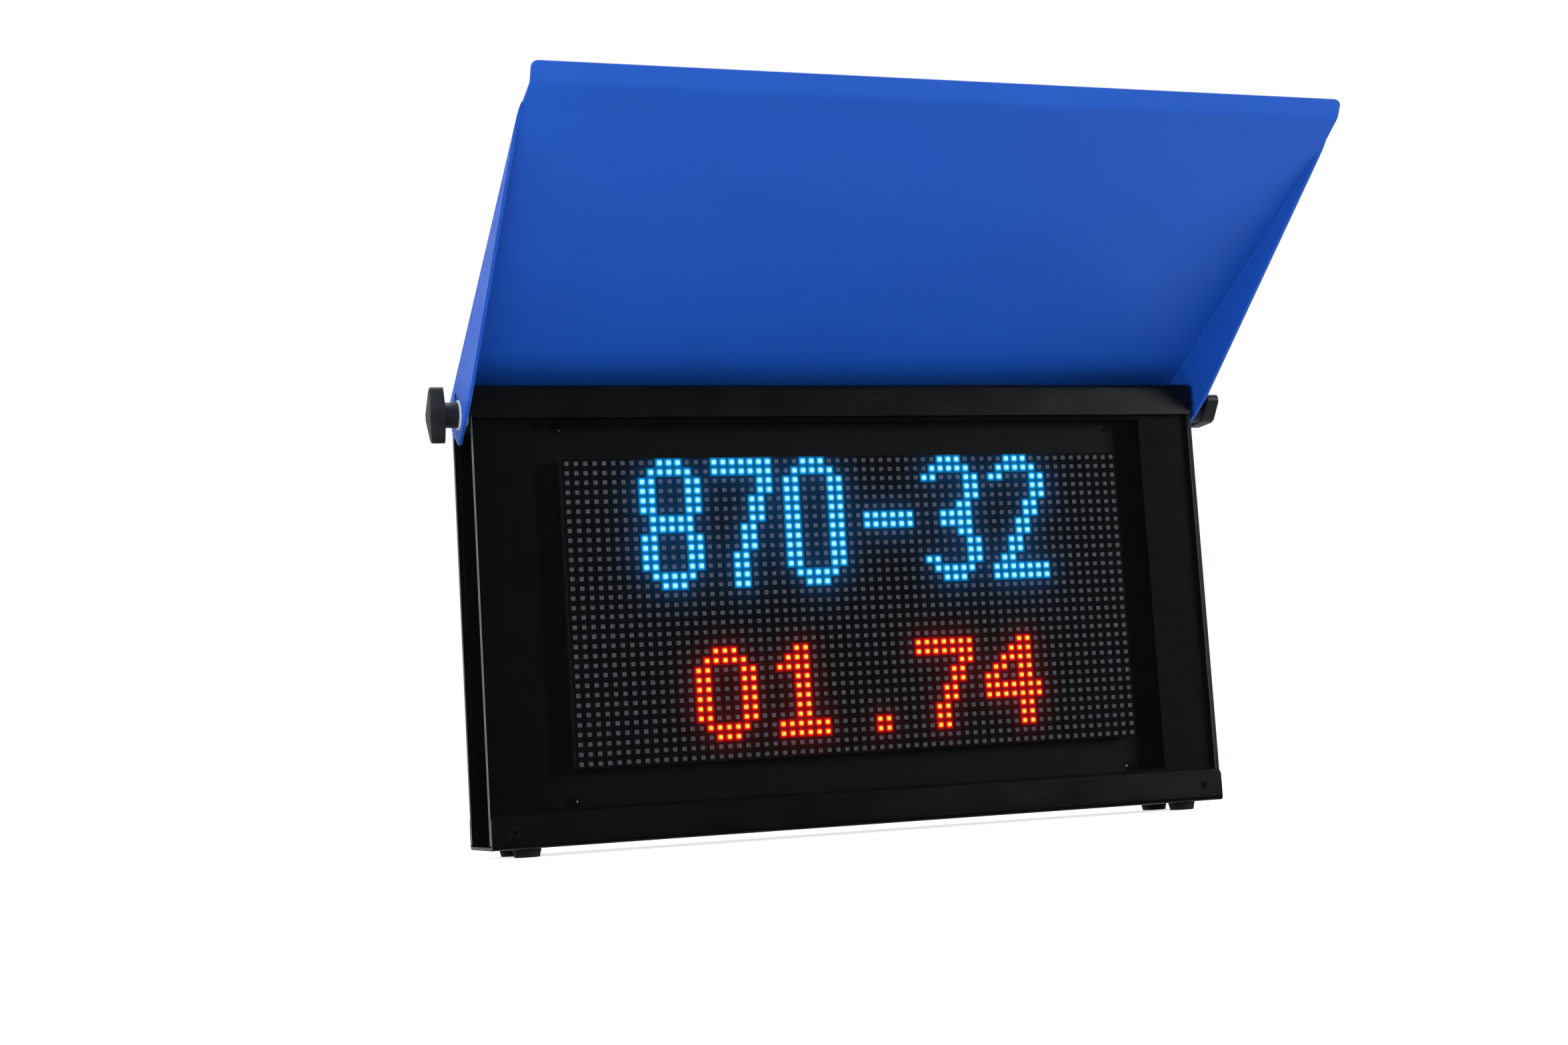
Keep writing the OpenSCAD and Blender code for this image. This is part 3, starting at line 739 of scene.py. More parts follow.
BLACK_COAT = PowderCoat("black_powder_coat", "#090a0b", 0.32, specular=0.28, dust_share=0.15)
BLACK_SHEET = PowderCoat("black_matt_coat", "#090a0a", 0.55, specular=0.15, dust_share=0.05)
BLUE_COAT = PowderCoat(
    "blue_powder_coat",
    "#1c57be",
    0.45,
    specular=0.22,
    dust="#4f7ac4",
    dust_share=0.2,
    shade="#1a50b2",
    shade_share=0.5,
)
BLOCK_COAT = PowderCoat("black_anodised_block", "#0e0e10", 0.45, specular=0.3, dust_share=0.2)
PANE_FACE = ClearAcrylic("clear_acrylic", "#f8f9fa", 0.07, ior=1.49)
PANE_EDGE = SawnAcrylic("sawn_acrylic_edge", "#3f4349", 0.4, ior=1.49)
KNOB_NYLON = Moulded("glass_filled_nylon", "#17191b", 0.5, wear="#303336", wear_share=0.3)
BLACK_NYLON = Moulded("black_moulded_nylon", "#0e0e10", 0.55, wear="#222326")
MODULE_GRID = Moulded("module_grid_plastic", "#111214", 0.6)
MILKY = MilkyNylon("natural_nylon", "#c4cdd8", 0.4, grain_um=3.0, wear="#a9b4c4")
FOOT_RUBBER = Moulded(
    "moulded_rubber", "#0d0d0e", 0.75, grain_mm=0.8, grain_um=18.0, wear="#2a2a2a", wear_share=0.4
)
BLACKENED = PlatedSteel(
    "blackened_steel", "#4a4c50", 0.17, metallic=0.9, stain="#1c1d1f", stain_share=0.5
)
ZINC = PlatedSteel("zinc_plated_steel", "#a9adb3", 0.33, metallic=1.0, stain="#83878d")
BRASS = DrawnMetal(
    "drawn_brass", "#c7a45c", 0.3, metallic=1.0, grain=Grain.ALONG_Y, shade="#9c7c3e"
)
BARE_ALUMINIUM = DrawnMetal("extruded_aluminium", "#b6b9bd", 0.38, metallic=1.0)
BRACKET_STEEL = DrawnMetal("rolled_zinc_strip", "#9da1a6", 0.4, metallic=1.0, grain=Grain.ALONG_X)
INSERT_STEEL = DrawnMetal("turned_insert", "#b4b7bb", 0.28, metallic=1.0, line_mm=0.3)
BUTTON_STEEL = TurnedSteel(
    "turned_stainless", "#c3c5c8", 0.24, metallic=1.0, centre_x=150.0, centre_z=96.0
)
BOARD = SolderMask("green_solder_mask", "#0f4a2a", 0.3)
CHIP = Moulded("moulded_epoxy", "#16171a", 0.6, grain_mm=0.3, grain_um=4.0)
RIBBON = FlatRibbon("grey_ribbon", "#9a9ca1", 0.45)
SHRINK_WRAP = Moulded(
    "shrink_wrap", "#1f4f98", 0.22, grain_mm=6.0, grain_um=60.0, wear="#3566ad", wear_share=0.5
)
RED_VINYL = Moulded("red_vinyl", "#8f1616", 0.4, wear="#a93030")
BLACK_VINYL = Moulded("black_vinyl", "#17181b", 0.42)
MASK = LampMask("lamp_mask", "#070708", 0.7, grain_um=1.5, wear="#0b0b0c", specular=0.06)
LAMP_BODY = LampBody("lamp_resin", "#565759", 0.5, grain_um=0.6, wear="#5a5b5d", specular=0.15)
LAMP_LENS = LampBody("lamp_lens", "#525356", 0.4, grain_um=0.5, wear="#57585a", specular=0.15)
COOL_LAMP = LitLamp("lit_lamp_cool", "#b8fbff", 0.3, rim="#00b4f0", specular=0.1)
WARM_LAMP = LitLamp(
    "lit_lamp_warm", "#fff048", 0.3, rim="#f23208", core_mm=0.7, fade_mm=2.0, specular=0.1
)

# The solids that keep their shape, by the finish that they get
KEPT_SOLIDS: dict[Finish, str] = {
    BLACKENED: "front_corner_screws rear_corner_screws chassis_screws rear_panel_screws "
    "battery_screws pivot_block_screws",
    BRASS: "chassis_spacers",
    BOARD: "module_board controller_board",
    MODULE_GRID: "module_frame",
    BLACK_NYLON: "module_connectors",
    ZINC: "module_screws foot_screws foot_nuts button_nut socket_nut knob_stud_left "
    "knob_stud_right",
    CHIP: "controller_chips",
    MILKY: "controller_spacers",
    RIBBON: "ribbon_cable",
    BARE_ALUMINIUM: "power_converter",
    SHRINK_WRAP: "battery_pack",
    BRACKET_STEEL: "battery_bracket",
    RED_VINYL: "battery_lead module_lead",
    BLACK_VINYL: "display_lead charge_lead switch_lead",
    INSERT_STEEL: "pole_insert_left pole_insert_right",
}


# ---------- mesh work ----------


def centre_of(name: str) -> Vector:
    """The middle of a solid's box."""
    low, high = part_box(name)
    return (low + high) / 2


def hard_edges(bm: Shape, degrees: float = 30.0) -> None:
    """Shades a mesh smoothly except across edges sharper than an angle."""
    for face in bm.faces:
        face.smooth = True
    for edge in bm.edges:
        turned_by = edge.calc_face_angle(math.pi)
        edge.smooth = turned_by < math.radians(degrees)


def finish_piece(
    name: str,
    bm: Shape,
    finishes: Sequence[Finish],
    body: str,
    replaced: Sequence[str] = (),
) -> Piece:
    """Turns a finished mesh into a piece that rides on a body.

    Args:
        name: the piece's name.
        bm: its mesh in metres, which is freed.
        finishes: one finish for each material number of its faces.
        body: the body that it rides on.
        replaced: the solids that it stands for.

    Returns:
        The new object.
    """
    hard_edges(bm)
    mesh = bpy.data.meshes.new(name)
    bm.to_mesh(mesh)
    bm.free()
    for finish in finishes:
        mesh.materials.append(finish.material())
    made = bpy.data.objects.new(name, mesh)
    bpy.context.scene.collection.objects.link(made)
    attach(made, body)
    if replaced:
        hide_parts(*replaced)
    return made


def solid_copy(name: str) -> Shape:
    """A solid's mesh with its loose triangles joined and its flat faces whole."""
    bm = bmesh.new()
    bm.from_mesh(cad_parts[name].data)
    bmesh.ops.remove_doubles(bm, verts=bm.verts, dist=mm(0.002))
    bmesh.ops.dissolve_limit(
        bm,
        angle_limit=math.radians(0.3),
        use_dissolve_boundaries=False,
        verts=bm.verts,
        edges=bm.edges,
        delimit=set(),
    )
    return bm


def ease_edges(piece: Piece, width_mm: float, segments: int = 2, material: int = -1) -> None:
    """Rounds a piece's sharp edges by a live Bevel that keeps its flat faces flat."""
    bevel = piece.modifiers.new("eased_edges", "BEVEL")
    bevel.width = mm(width_mm)
    bevel.segments = segments
    bevel.limit_method = "ANGLE"
    bevel.angle_limit = math.radians(30)
    bevel.harden_normals = True
    bevel.material = material


def eased(points: Profile, radius: float, steps: int = 3) -> Profile:
    """Rounds the corners of a closed profile.

    Args:
        points: the corners, in order.
        radius: how far from a corner its rounding starts, in millimetres.
        steps: how many segments a rounding has.

    Returns:
        The longer list of points.
    """
    rounded: Profile = []
    count = len(points)
    for i, point in enumerate(points):
        here = Vector(point)
        before = Vector(points[i - 1]) - here
        after = Vector(points[(i + 1) % count]) - here
        cut = min(radius, before.length / 2.2, after.length / 2.2)
        start = here + before.normalized() * cut
        end = here + after.normalized() * cut
        for k in range(steps + 1):
            t = k / steps
            spot = start * (1 - t) ** 2 + here * 2 * t * (1 - t) + end * t**2
            rounded.append((spot.x, spot.y))
    return rounded


def turn_on_lathe(
    bm: Shape,
    profile: Profile,
    place: Matrix,
    steps: int = 64,
    closed: bool = True,
    material: int = 0,
) -> None:
    """Adds a turned shape to a mesh.

    Args:
        bm: the mesh that gets it.
        profile: (radius, height) pairs in millimetres.
        place: where the lathe's axis, local Z, goes.
        steps: how many facets a turn has.
        closed: whether the last point joins the first, as a ring's does.
        material: the material number of its faces.
    """
    part = bmesh.new()
    verts = [part.verts.new((mm(r), 0.0, mm(h))) for r, h in profile]
    pairs = list(zip(verts, verts[1:]))
    if closed:
        pairs.append((verts[-1], verts[0]))
    edges = [part.edges.new(pair) for pair in pairs]
    bmesh.ops.spin(
        part,
        geom=verts + edges,
        cent=(0.0, 0.0, 0.0),
        axis=(0.0, 0.0, 1.0),
        dvec=(0.0, 0.0, 0.0),
        angle=math.tau,
        steps=steps,
        use_merge=True,
        use_duplicate=False,
    )
    bmesh.ops.remove_doubles(part, verts=part.verts, dist=mm(0.0005))
    join_part(bm, part, place, material)


def join_part(bm: Shape, part: Shape, place: Matrix, material: int = 0) -> None:
    """Adds a closed part to a mesh at its place and frees it."""
    bmesh.ops.recalc_face_normals(part, faces=part.faces)
    bmesh.ops.transform(part, matrix=place, verts=part.verts)
    if place.determinant() < 0:
        bmesh.ops.reverse_faces(part, faces=part.faces)
    for face in part.faces:
        face.material_index = material
    mesh = bpy.data.meshes.new("part")
    part.to_mesh(mesh)
    part.free()
    bm.from_mesh(mesh)
    bpy.data.meshes.remove(mesh)


def facing(direction: Sequence[float], spot: Sequence[float]) -> Matrix:
    """A place whose local Z points along a direction from a spot in metres."""
    turn = Vector(direction).to_track_quat("Z", "Y").to_matrix().to_4x4()
    return Matrix.Translation(Vector(spot)) @ turn


# ---------- sub-assemblies ----------


class Side(Enum):
    """An end of the board."""

    LEFT = -1
    RIGHT = 1

    @property
    def word(self) -> str:
        """The side's name in the names of solids and bodies."""
        return self.name.lower()


@dataclass
class SheetWork:
    """The folded, sawn and milled parts, which keep their solid's shape with eased edges."""

    coated: dict[str, tuple[Finish, str, float]] = field(
        default_factory=lambda: {
            "base_channel": (BLACK_COAT, "housing_black", 0.35),
            "top_channel": (BLACK_COAT, "housing_black", 0.35),
            "side_profile_left": (BLACK_COAT, "housing_black", 0.3),
            "side_profile_right": (BLACK_COAT, "housing_black", 0.3),
            "rear_panel": (BLACK_COAT, "housing_black", 0.4),
            "window_plate": (BLACK_SHEET, "sheet_black", 0.15),
            "chassis_plate": (BLACK_SHEET, "sheet_black", 0.2),
            "pivot_block_left": (BLOCK_COAT, "block_black", 0.4),
            "pivot_block_right": (BLOCK_COAT, "block_black", 0.4),
        }
    )
    visor_ease: float = 0.35
    pane_ease: float = 0.25

    def build(self) -> list[Piece]:
        """Makes the housing's sheets, the pane and the visor."""
        pieces = []
        for node, (finish, slot, ease) in self.coated.items():
            piece = finish_piece(
                f"{node}_sheet", solid_copy(node), [finish], "housing", [node]
            )
            ease_edges(piece, ease)
            pieces.append(piece)
        pieces.append(self.pane())
        pieces.append(self.visor())
        return pieces

    def pane(self) -> Piece:
        """The clear pane, with sawn edges round its polished faces."""
        bm = solid_copy("front_pane")
        for face in bm.faces:
            face.material_index = 0 if abs(face.normal.y) > 0.9 else 1
        piece = finish_piece(
            "clear_pane", bm, [PANE_FACE, PANE_EDGE], "housing", ["front_pane"]
        )
        ease_edges(piece, self.pane_ease, 2, 1)
        return piece

    def visor(self) -> Piece:
        """The folded visor."""
        piece = finish_piece(
            "visor_sheet",
            solid_copy("visor_cover"),
            [BLUE_COAT],
            "visor",
            ["visor_cover"],
        )
        ease_edges(piece, self.visor_ease, 3)
        return piece


class Lamp(Enum):
    """What a lamp of the display shows."""

    OFF = 0
    COOL = 1
    WARM = 2


TALL_FIGURES = {
    "0": "..###.. .#####. " + "##...## " * 10 + ".#####. ..###..",
    "2": "..###.. .#####. ##...## .....## .....## ....##. ....##. ...##.. ...##.. ..##... "
    "..##... .##.... ####### #######",
    "3": "..###.. .#####. ##...## .....## .....## ....##. ..####. ..####. ....##. .....## "
    ".....## ##...## .#####. ..###..",
    "7": "####### ####### .....## .....## ....##. ....##. ....##. ...##.. ...##.. ...##.. "
    "..##... ..##... ..##... ..##...",
    "8": "..###.. .#####. ##...## ##...## ##...## ##...## .#####. .#####. ##...## ##...## "
    "##...## ##...## .#####. ..###..",
    "-": "...... " * 6 + "###### ######",
}
SHORT_FIGURES = {
    "0": "..###.. .#####. " + "##...## " * 6 + ".#####. ..###..",
    "1": "..##... .###... ####... ..##... ..##... ..##... ..##... ..##... ######. ######.",
    "4": "....##. ...###. ..####. .##.##. ##..##. ####### ####### ....##. ....##. ....##.",
    "7": "####### ####### .....## ....##. ....##. ...##.. ...##.. ..##... ..##... ..##...",
    ".": ".. " * 8 + "## ##",
}


@dataclass
class Reading:
    """One line of figures on the display.

    Args:
        figures: each figure with the column that it starts in.
        shapes: the figures' dot patterns, row by row.
        top_row: the row that their first dots are in.
        lamp: the light that they show.
    """

    figures: list[tuple[str, int]]
    shapes: dict[str, str]
    top_row: int
    lamp: Lamp

    def dots(self) -> dict[tuple[int, int], Lamp]:
        """The lamps that the line lights, by column and row."""
        return {
            (start + column, self.top_row + row): self.lamp
            for figure, start in self.figures
            for row, line in enumerate(self.shapes[figure].split())
            for column, mark in enumerate(line)
            if mark == "#"
        }


@dataclass
class Glow:
    """The light that a lit lamp throws on what is round it, painted on as glow.

    Args:
        close: the colour on the mask beside the lamp, linear.
        spill: the colour that one lamp adds further out, linear.
        reach: the distance in millimetres over which that falls to a third.
    """

    close: tuple[float, float, float]
    spill: tuple[float, float, float]
    reach: float


@dataclass
class LedModule:
    """The matrix of surface-mounted lamps and the black mask that they stand through."""

    pitch: float = 6.0
    columns: int = 64
    rows: int = 32
    cells_each: int = 3
    lamp_w: float = 2.65
    lamp_ease: float = 0.3
    rim_w: float = 0.38
    lens_step: float = 0.12
    root_depth: float = 0.3
    dish: float = 0.06
    proud: float = 0.75
    readings: list[Reading] = field(
        default_factory=lambda: [
            Reading(
                [("8", 8), ("7", 16), ("0", 24), ("-", 33), ("3", 40), ("2", 48)],
                TALL_FIGURES,
                0,
                Lamp.COOL,
            ),
            Reading(
                [("0", 13), ("1", 22), (".", 33), ("7", 38), ("4", 46)],
                SHORT_FIGURES,
                20,
                Lamp.WARM,
            ),
        ]
    )
    glows: dict[Lamp, Glow] = field(
        default_factory=lambda: {
            Lamp.COOL: Glow((0.0, 0.19, 0.46), (0.0004, 0.0125, 0.038), 5.5),
            Lamp.WARM: Glow((0.42, 0.0, 0.001), (0.04, 0.0002, 0.0008), 4.2),
        }
    )
    lit: dict[tuple[int, int], Lamp] = field(default_factory=dict)

    def __post_init__(self) -> None:
        """Finds the display's place and the lamps that are lit."""
        low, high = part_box("module_mask")
        self.middle = (low + high) / 2
        self.face_y = low.y * 1000 - 0.1
        self.back_y = high.y * 1000
        self.skin_y = self.face_y + self.proud
        for reading in self.readings:
            self.lit.update(reading.dots())

    def spot(self, column: int, row: int) -> tuple[float, float]:
        """The (x, z) of a lamp's middle, in metres."""
        x = self.middle.x + mm((column - (self.columns - 1) / 2) * self.pitch)
        z = self.middle.z - mm((row - (self.rows - 1) / 2) * self.pitch)
        return x, z

    def spill_at(self, points: np.ndarray) -> np.ndarray:
        """The painted light that reaches each point from the lit lamps.

        Args:
            points: (x, z) of each point, in metres.

        Returns:
            Red, green, blue and one for each point.
        """
        light = np.zeros((len(points), 4), np.float32)
        light[:, 3] = 1.0
        for lamp, glow in self.glows.items():
            spots = np.array([self.spot(*at) for at, kind in self.lit.items() if kind is lamp])
            total = np.zeros(len(points))
            for spot in spots:
                away = np.hypot(points[:, 0] - spot[0], points[:, 1] - spot[1])
                total += np.exp(-away / mm(glow.reach))
            light[:, :3] += total[:, None] * np.array(glow.spill, np.float32)
        return light

    def add_spill(self, piece: Piece) -> None:
        """Writes the spilt light on a piece's points, as painted glow."""
        mesh = piece.data
        places = np.zeros(len(mesh.vertices) * 3, np.float32)
        mesh.vertices.foreach_get("co", places)
        light = self.spill_at(places.reshape(-1, 3)[:, [0, 2]])
        layer = mesh.attributes.new("spill", "FLOAT_COLOR", "POINT")
        layer.data.foreach_set("color", light.ravel())

    def build(self) -> list[Piece]:
        """Makes the mask and the three groups of lamps."""
        pieces = [self.mask()]
        for lamp, finishes in (
            (Lamp.OFF, [LAMP_BODY, LAMP_LENS]), (Lamp.COOL, [COOL_LAMP]), (Lamp.WARM, [WARM_LAMP])
        ):
            pieces.append(self.lamps(lamp, finishes))
        return pieces

    def mask(self) -> Piece:
        """The black mask, as a plate whose face has nine squares for each lamp."""
        bm = bmesh.new()
        turn = Matrix.Rotation(math.pi / 2, 4, "X")
        stretch = Matrix.Diagonal(
            (mm(self.columns * self.pitch) / 2, mm(self.rows * self.pitch) / 2, 1.0, 1.0)
        )
        place = Matrix.Translation((self.middle.x, mm(self.skin_y), self.middle.z))
        bmesh.ops.create_grid(
            bm,
            x_segments=self.columns * self.cells_each,
            y_segments=self.rows * self.cells_each,
            size=1.0,
            matrix=place @ turn @ stretch,
        )
        border = [edge for edge in bm.edges if edge.is_boundary]
        pulled = bmesh.ops.extrude_edge_only(bm, edges=border)["geom"]
        rear = [item for item in pulled if isinstance(item, bmesh.types.BMVert)]
        bmesh.ops.translate(bm, vec=(0.0, mm(self.back_y - self.skin_y), 0.0), verts=rear)
        bmesh.ops.holes_fill(bm, edges=[edge for edge in bm.edges if edge.is_boundary], sides=0)
        bmesh.ops.recalc_face_normals(bm, faces=bm.faces)
        piece = finish_piece(
            "lamp_mask_plate", bm, [MASK], "housing", ["module_mask"]
        )
        self.add_spill(piece)
        # Painted light: the nine squares round each lit lamp get its glow colour.
        layer = piece.data.attributes.new("lit", "FLOAT_COLOR", "FACE")
        colours = np.zeros((len(piece.data.polygons), 4), np.float32)
        left = self.middle.x - mm(self.columns * self.pitch) / 2
        top = self.middle.z + mm(self.rows * self.pitch) / 2
        for number, face in enumerate(piece.data.polygons):
            if face.normal.y > -0.9:
                continue
            column = int((face.center.x - left) / mm(self.pitch))
            row = int((top - face.center.z) / mm(self.pitch))
            lamp = self.lit.get((column, row))
            if lamp is not None:
                colours[number, :3] = self.glows[lamp].close
        layer.data.foreach_set("color", colours.ravel())
        return piece

    def lamps(self, lamp: Lamp, finishes: list[Finish]) -> Piece:
        """All lamps that show one light, each a small block with a dished lens."""
        template = self.one_lamp(len(finishes) - 1)
        bm = bmesh.new()
        for row in range(self.rows):
            for column in range(self.columns):
                if self.lit.get((column, row), Lamp.OFF) is not lamp:
                    continue
                x, z = self.spot(column, row)
                here = template.copy()
                here.transform(Matrix.Translation((x, mm(self.face_y), z)))
                bm.from_mesh(here)
                bpy.data.meshes.remove(here)
        bpy.data.meshes.remove(template)
        piece = finish_piece(
            f"lamps_{lamp.name.lower()}", bm, finishes, "housing"
        )
        # Painted light: the off lamps get the spilt glow of the lit ones.
        if lamp is Lamp.OFF:
            self.add_spill(piece)
        return piece

    def one_lamp(self, lens_material: int) -> bpy.types.Mesh:
        """A lamp whose face is at the origin and looks towards -Y."""
        bm = bmesh.new()
        bmesh.ops.create_cube(bm, size=1.0)
        depth = mm(self.proud + self.root_depth)
        bmesh.ops.transform(
            bm,
            matrix=Matrix.Translation((0.0, depth / 2, 0.0))
            @ Matrix.Diagonal((mm(self.lamp_w), depth, mm(self.lamp_w), 1.0)),
            verts=bm.verts,
        )
        long_edges = [
            edge for edge in bm.edges if abs(edge.verts[0].co.y - edge.verts[1].co.y) > depth / 2
        ]
        bmesh.ops.bevel(
            bm,
            geom=long_edges,
            offset=mm(self.lamp_ease),
            segments=1,
            profile=0.5,
            affect="EDGES",
            material=-1,
        )
        bmesh.ops.delete(
            bm, geom=[face for face in bm.faces if face.normal.y > 0.9], context="FACES"
        )
        front = [face for face in bm.faces if face.normal.y < -0.9]
        bmesh.ops.inset_region(
            bm, faces=front, thickness=mm(self.rim_w), depth=0.0, use_even_offset=True
        )
        bmesh.ops.inset_region(
            bm, faces=front, thickness=mm(self.lens_step), depth=-mm(self.dish)
        )
        for face in front:
            face.material_index = lens_material
        bmesh.ops.holes_fill(bm, edges=[edge for edge in bm.edges if edge.is_boundary], sides=0)
        bmesh.ops.recalc_face_normals(bm, faces=bm.faces)
        mesh = bpy.data.meshes.new("one_lamp")
        bm.to_mesh(mesh)
        bm.free()
        return mesh


@dataclass
class ClampKnob:
    """A two-winged clamp knob with its milky washer."""

    side: Side
    turn: float
    hub_r: float = 8.0
    middle_r: float = 8.5
    reach: float = 17.5
    wing_end_r: float = 3.4
    wing_h: float = 8.0
    dome_h: float = 10.2
    hollow_rim: float = 1.7
    hollow_depth: float = 2.6
    bore_r: float = 3.2
    hub_draft: float = 0.25
    hub_overlap: float = 0.5
    crown_steps: int = 6
    crown_step: float = 0.5
    edge_r: float = 0.9
    lower_edge_z: float = 4.0
    ease: float = 0.35
    washer_bore_r: float = 3.25
    washer_ease: float = 0.3

    def __post_init__(self) -> None:
        """Finds the knob's ends along its axis."""
        low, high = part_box(f"knob_{self.side.word}")
        self.inner_x = low.x if self.side is Side.RIGHT else high.x
        self.hub_l = (high.x - low.x) * 1000 - self.dome_h
        self.axis = centre_of(f"knob_stud_{self.side.word}")

    def build(self) -> list[Piece]:
        """Makes the knob and the washer."""
        return [self.knob(), self.washer()]

    def outline(self) -> Profile:
        """The head's outline: a round middle that runs in straight flanks to two wing ends."""
        reach = self.reach - self.wing_end_r
        lean = math.acos((self.middle_r - self.wing_end_r) / reach)
        points: Profile = []
        for side, centre, radius, start, end, steps in (
            (1, reach, self.wing_end_r, -lean, lean, 14),
            (0, 0.0, self.middle_r, lean, math.pi - lean, 10),
            (-1, -reach, self.wing_end_r, math.pi - lean, math.pi + lean, 14),
            (0, 0.0, self.middle_r, math.pi + lean, math.tau - lean, 10),
        ):
            first = 0 if side else 1
            last = steps if side else steps - 1
            for k in range(first, last + 1):
                angle = start + (end - start) * k / steps
                points.append((centre + radius * math.cos(angle), radius * math.sin(angle)))
        return points

    def knob(self) -> Piece:
        """The moulded knob: a domed head, hollow below, on a round hub."""
        head = bmesh.new()
        ring = [head.verts.new((mm(x), mm(y), 0.0)) for x, y in self.outline()]
        floor = head.faces.new(ring)
        raised = bmesh.ops.extrude_face_region(head, geom=[floor])["geom"]
        top = [item for item in raised if isinstance(item, bmesh.types.BMFace)]
        bmesh.ops.translate(head, vec=(0.0, 0.0, mm(self.dome_h)), verts=list(top[0].verts))
        crown = {vert for face in top for vert in face.verts}
        for _ in range(self.crown_steps):
            made = bmesh.ops.inset_region(
                head, faces=top, thickness=mm(self.crown_step), use_even_offset=True
            )
            crown |= {vert for face in made["faces"] for vert in face.verts}
        poked = bmesh.ops.poke(head, faces=top)
        crown |= set(poked["verts"])
        rise = self.dome_h - self.wing_h
        sphere_r = (self.reach**2 + rise**2) / (2 * rise)
        for vert in crown:
            away = Vector((vert.co.x, vert.co.y)).length * 1000
            drop = sphere_r - math.sqrt(sphere_r**2 - away**2)
            vert.co.z = mm(self.dome_h - drop)
        bottom = [f for f in head.faces if all(abs(v.co.z) < 1e-6 for v in f.verts)]
        bmesh.ops.inset_region(
            head, faces=bottom, thickness=mm(self.hollow_rim), use_even_offset=True
        )
        deep = bmesh.ops.extrude_face_region(head, geom=bottom)["geom"]
        bmesh.ops.delete(head, geom=bottom, context="FACES_ONLY")
        bmesh.ops.translate(
            head,
            vec=(0.0, 0.0, mm(self.hollow_depth)),
            verts=[item for item in deep if isinstance(item, bmesh.types.BMVert)],
        )
        bmesh.ops.recalc_face_normals(head, faces=head.faces)
        lowest = mm(self.lower_edge_z)
        rims = [
            edge
            for edge in head.edges
            if edge.is_manifold and edge.calc_face_angle(0.0) > math.radians(50)
        ]
        bmesh.ops.bevel(
            head,
            geom=[edge for edge in rims if max(v.co.z for v in edge.verts) > lowest],
            offset=mm(self.edge_r),
            segments=3,
            profile=0.5,
            affect="EDGES",
            material=-1,
            clamp_overlap=True,
        )
        across = Vector((0.0, math.cos(self.turn), math.sin(self.turn)))
        out = Vector((float(self.side.value), 0.0, 0.0))
        basis = Matrix((across, out.cross(across), out)).transposed().to_4x4()
        hub_place = (Matrix.Translation((self.inner_x, self.axis.y, self.axis.z)) @ basis)
        head_place = hub_place @ Matrix.Translation((0.0, 0.0, mm(self.hub_l)))
        bm = bmesh.new()
        join_part(bm, head, head_place)
        hub_top = self.hub_l + self.hollow_depth + self.hub_overlap
        hub = [
            (self.bore_r, 0.0),
            (self.hub_r, 0.0),
            (self.hub_r - self.hub_draft, hub_top),
            (self.bore_r, hub_top),
        ]
        turn_on_lathe(bm, eased(hub, 0.5), hub_place)
        word = self.side.word
        piece = finish_piece(
            f"clamp_knob_{word}", bm, [KNOB_NYLON], f"knob_{word}", [f"knob_{word}"]
        )
        ease_edges(piece, self.ease, 2)
        return piece

    def washer(self) -> Piece:
        """The milky washer between the knob and the visor."""
        word = self.side.word
        return ring_piece(
            f"washer_{word}",
            [(f"knob_washer_{word}", 0)],
            self.washer_bore_r,
            MILKY,
            f"knob_{word}",
            self.washer_ease,
        )


SPACER_T = 2.6  # thickness of a pivot spacer


def ring_piece(
    name: str,
    solids: list[tuple[str, int]],
    bore_r: float,
    finish: Finish,
    body: str,
    ease: float,
) -> Piece:
    """A turned ring about the X axis in place of a solid.

    Args:
        name: the piece's name.
        solids: the solid that it stands for, with 0 for its whole box, or -1 or 1 for
            the ring at that end of the box.
        bore_r: the radius of its hole.
        finish: its finish.
        body: the body that it rides on.
        ease: the rounding of its edges.

    Returns:
        The ring.
    """
    bm = bmesh.new()
    for solid, end in solids:
        low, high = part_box(solid)
        outer = (high.z - low.z) * 500
        long = (high.x - low.x) * 1000 if end == 0 else SPACER_T
        start = low.x if end <= 0 else high.x - mm(long)
        middle = (low + high) / 2
        turn_on_lathe(
            bm,
            eased([(bore_r, 0.0), (outer, 0.0), (outer, long), (bore_r, long)], ease),
            facing((1.0, 0.0, 0.0), (start, middle.y, middle.z)),
            72,
        )
    return finish_piece(name, bm, [finish], body, sorted({s for s, _ in solids}))


@dataclass
class PivotRings:
    """The milky spacers that keep the visor's flanges off the housing's ends."""

    bore_r: float = 3.1
    ease: float = 0.35

    def build(self) -> list[Piece]:
        """Makes both spacers as one piece."""
        return [
            ring_piece(
                "pivot_spacer_rings",
                [("pivot_spacers", -1), ("pivot_spacers", 1)],
                self.bore_r,
                MILKY,
                "housing",
                self.ease,
            )
        ]


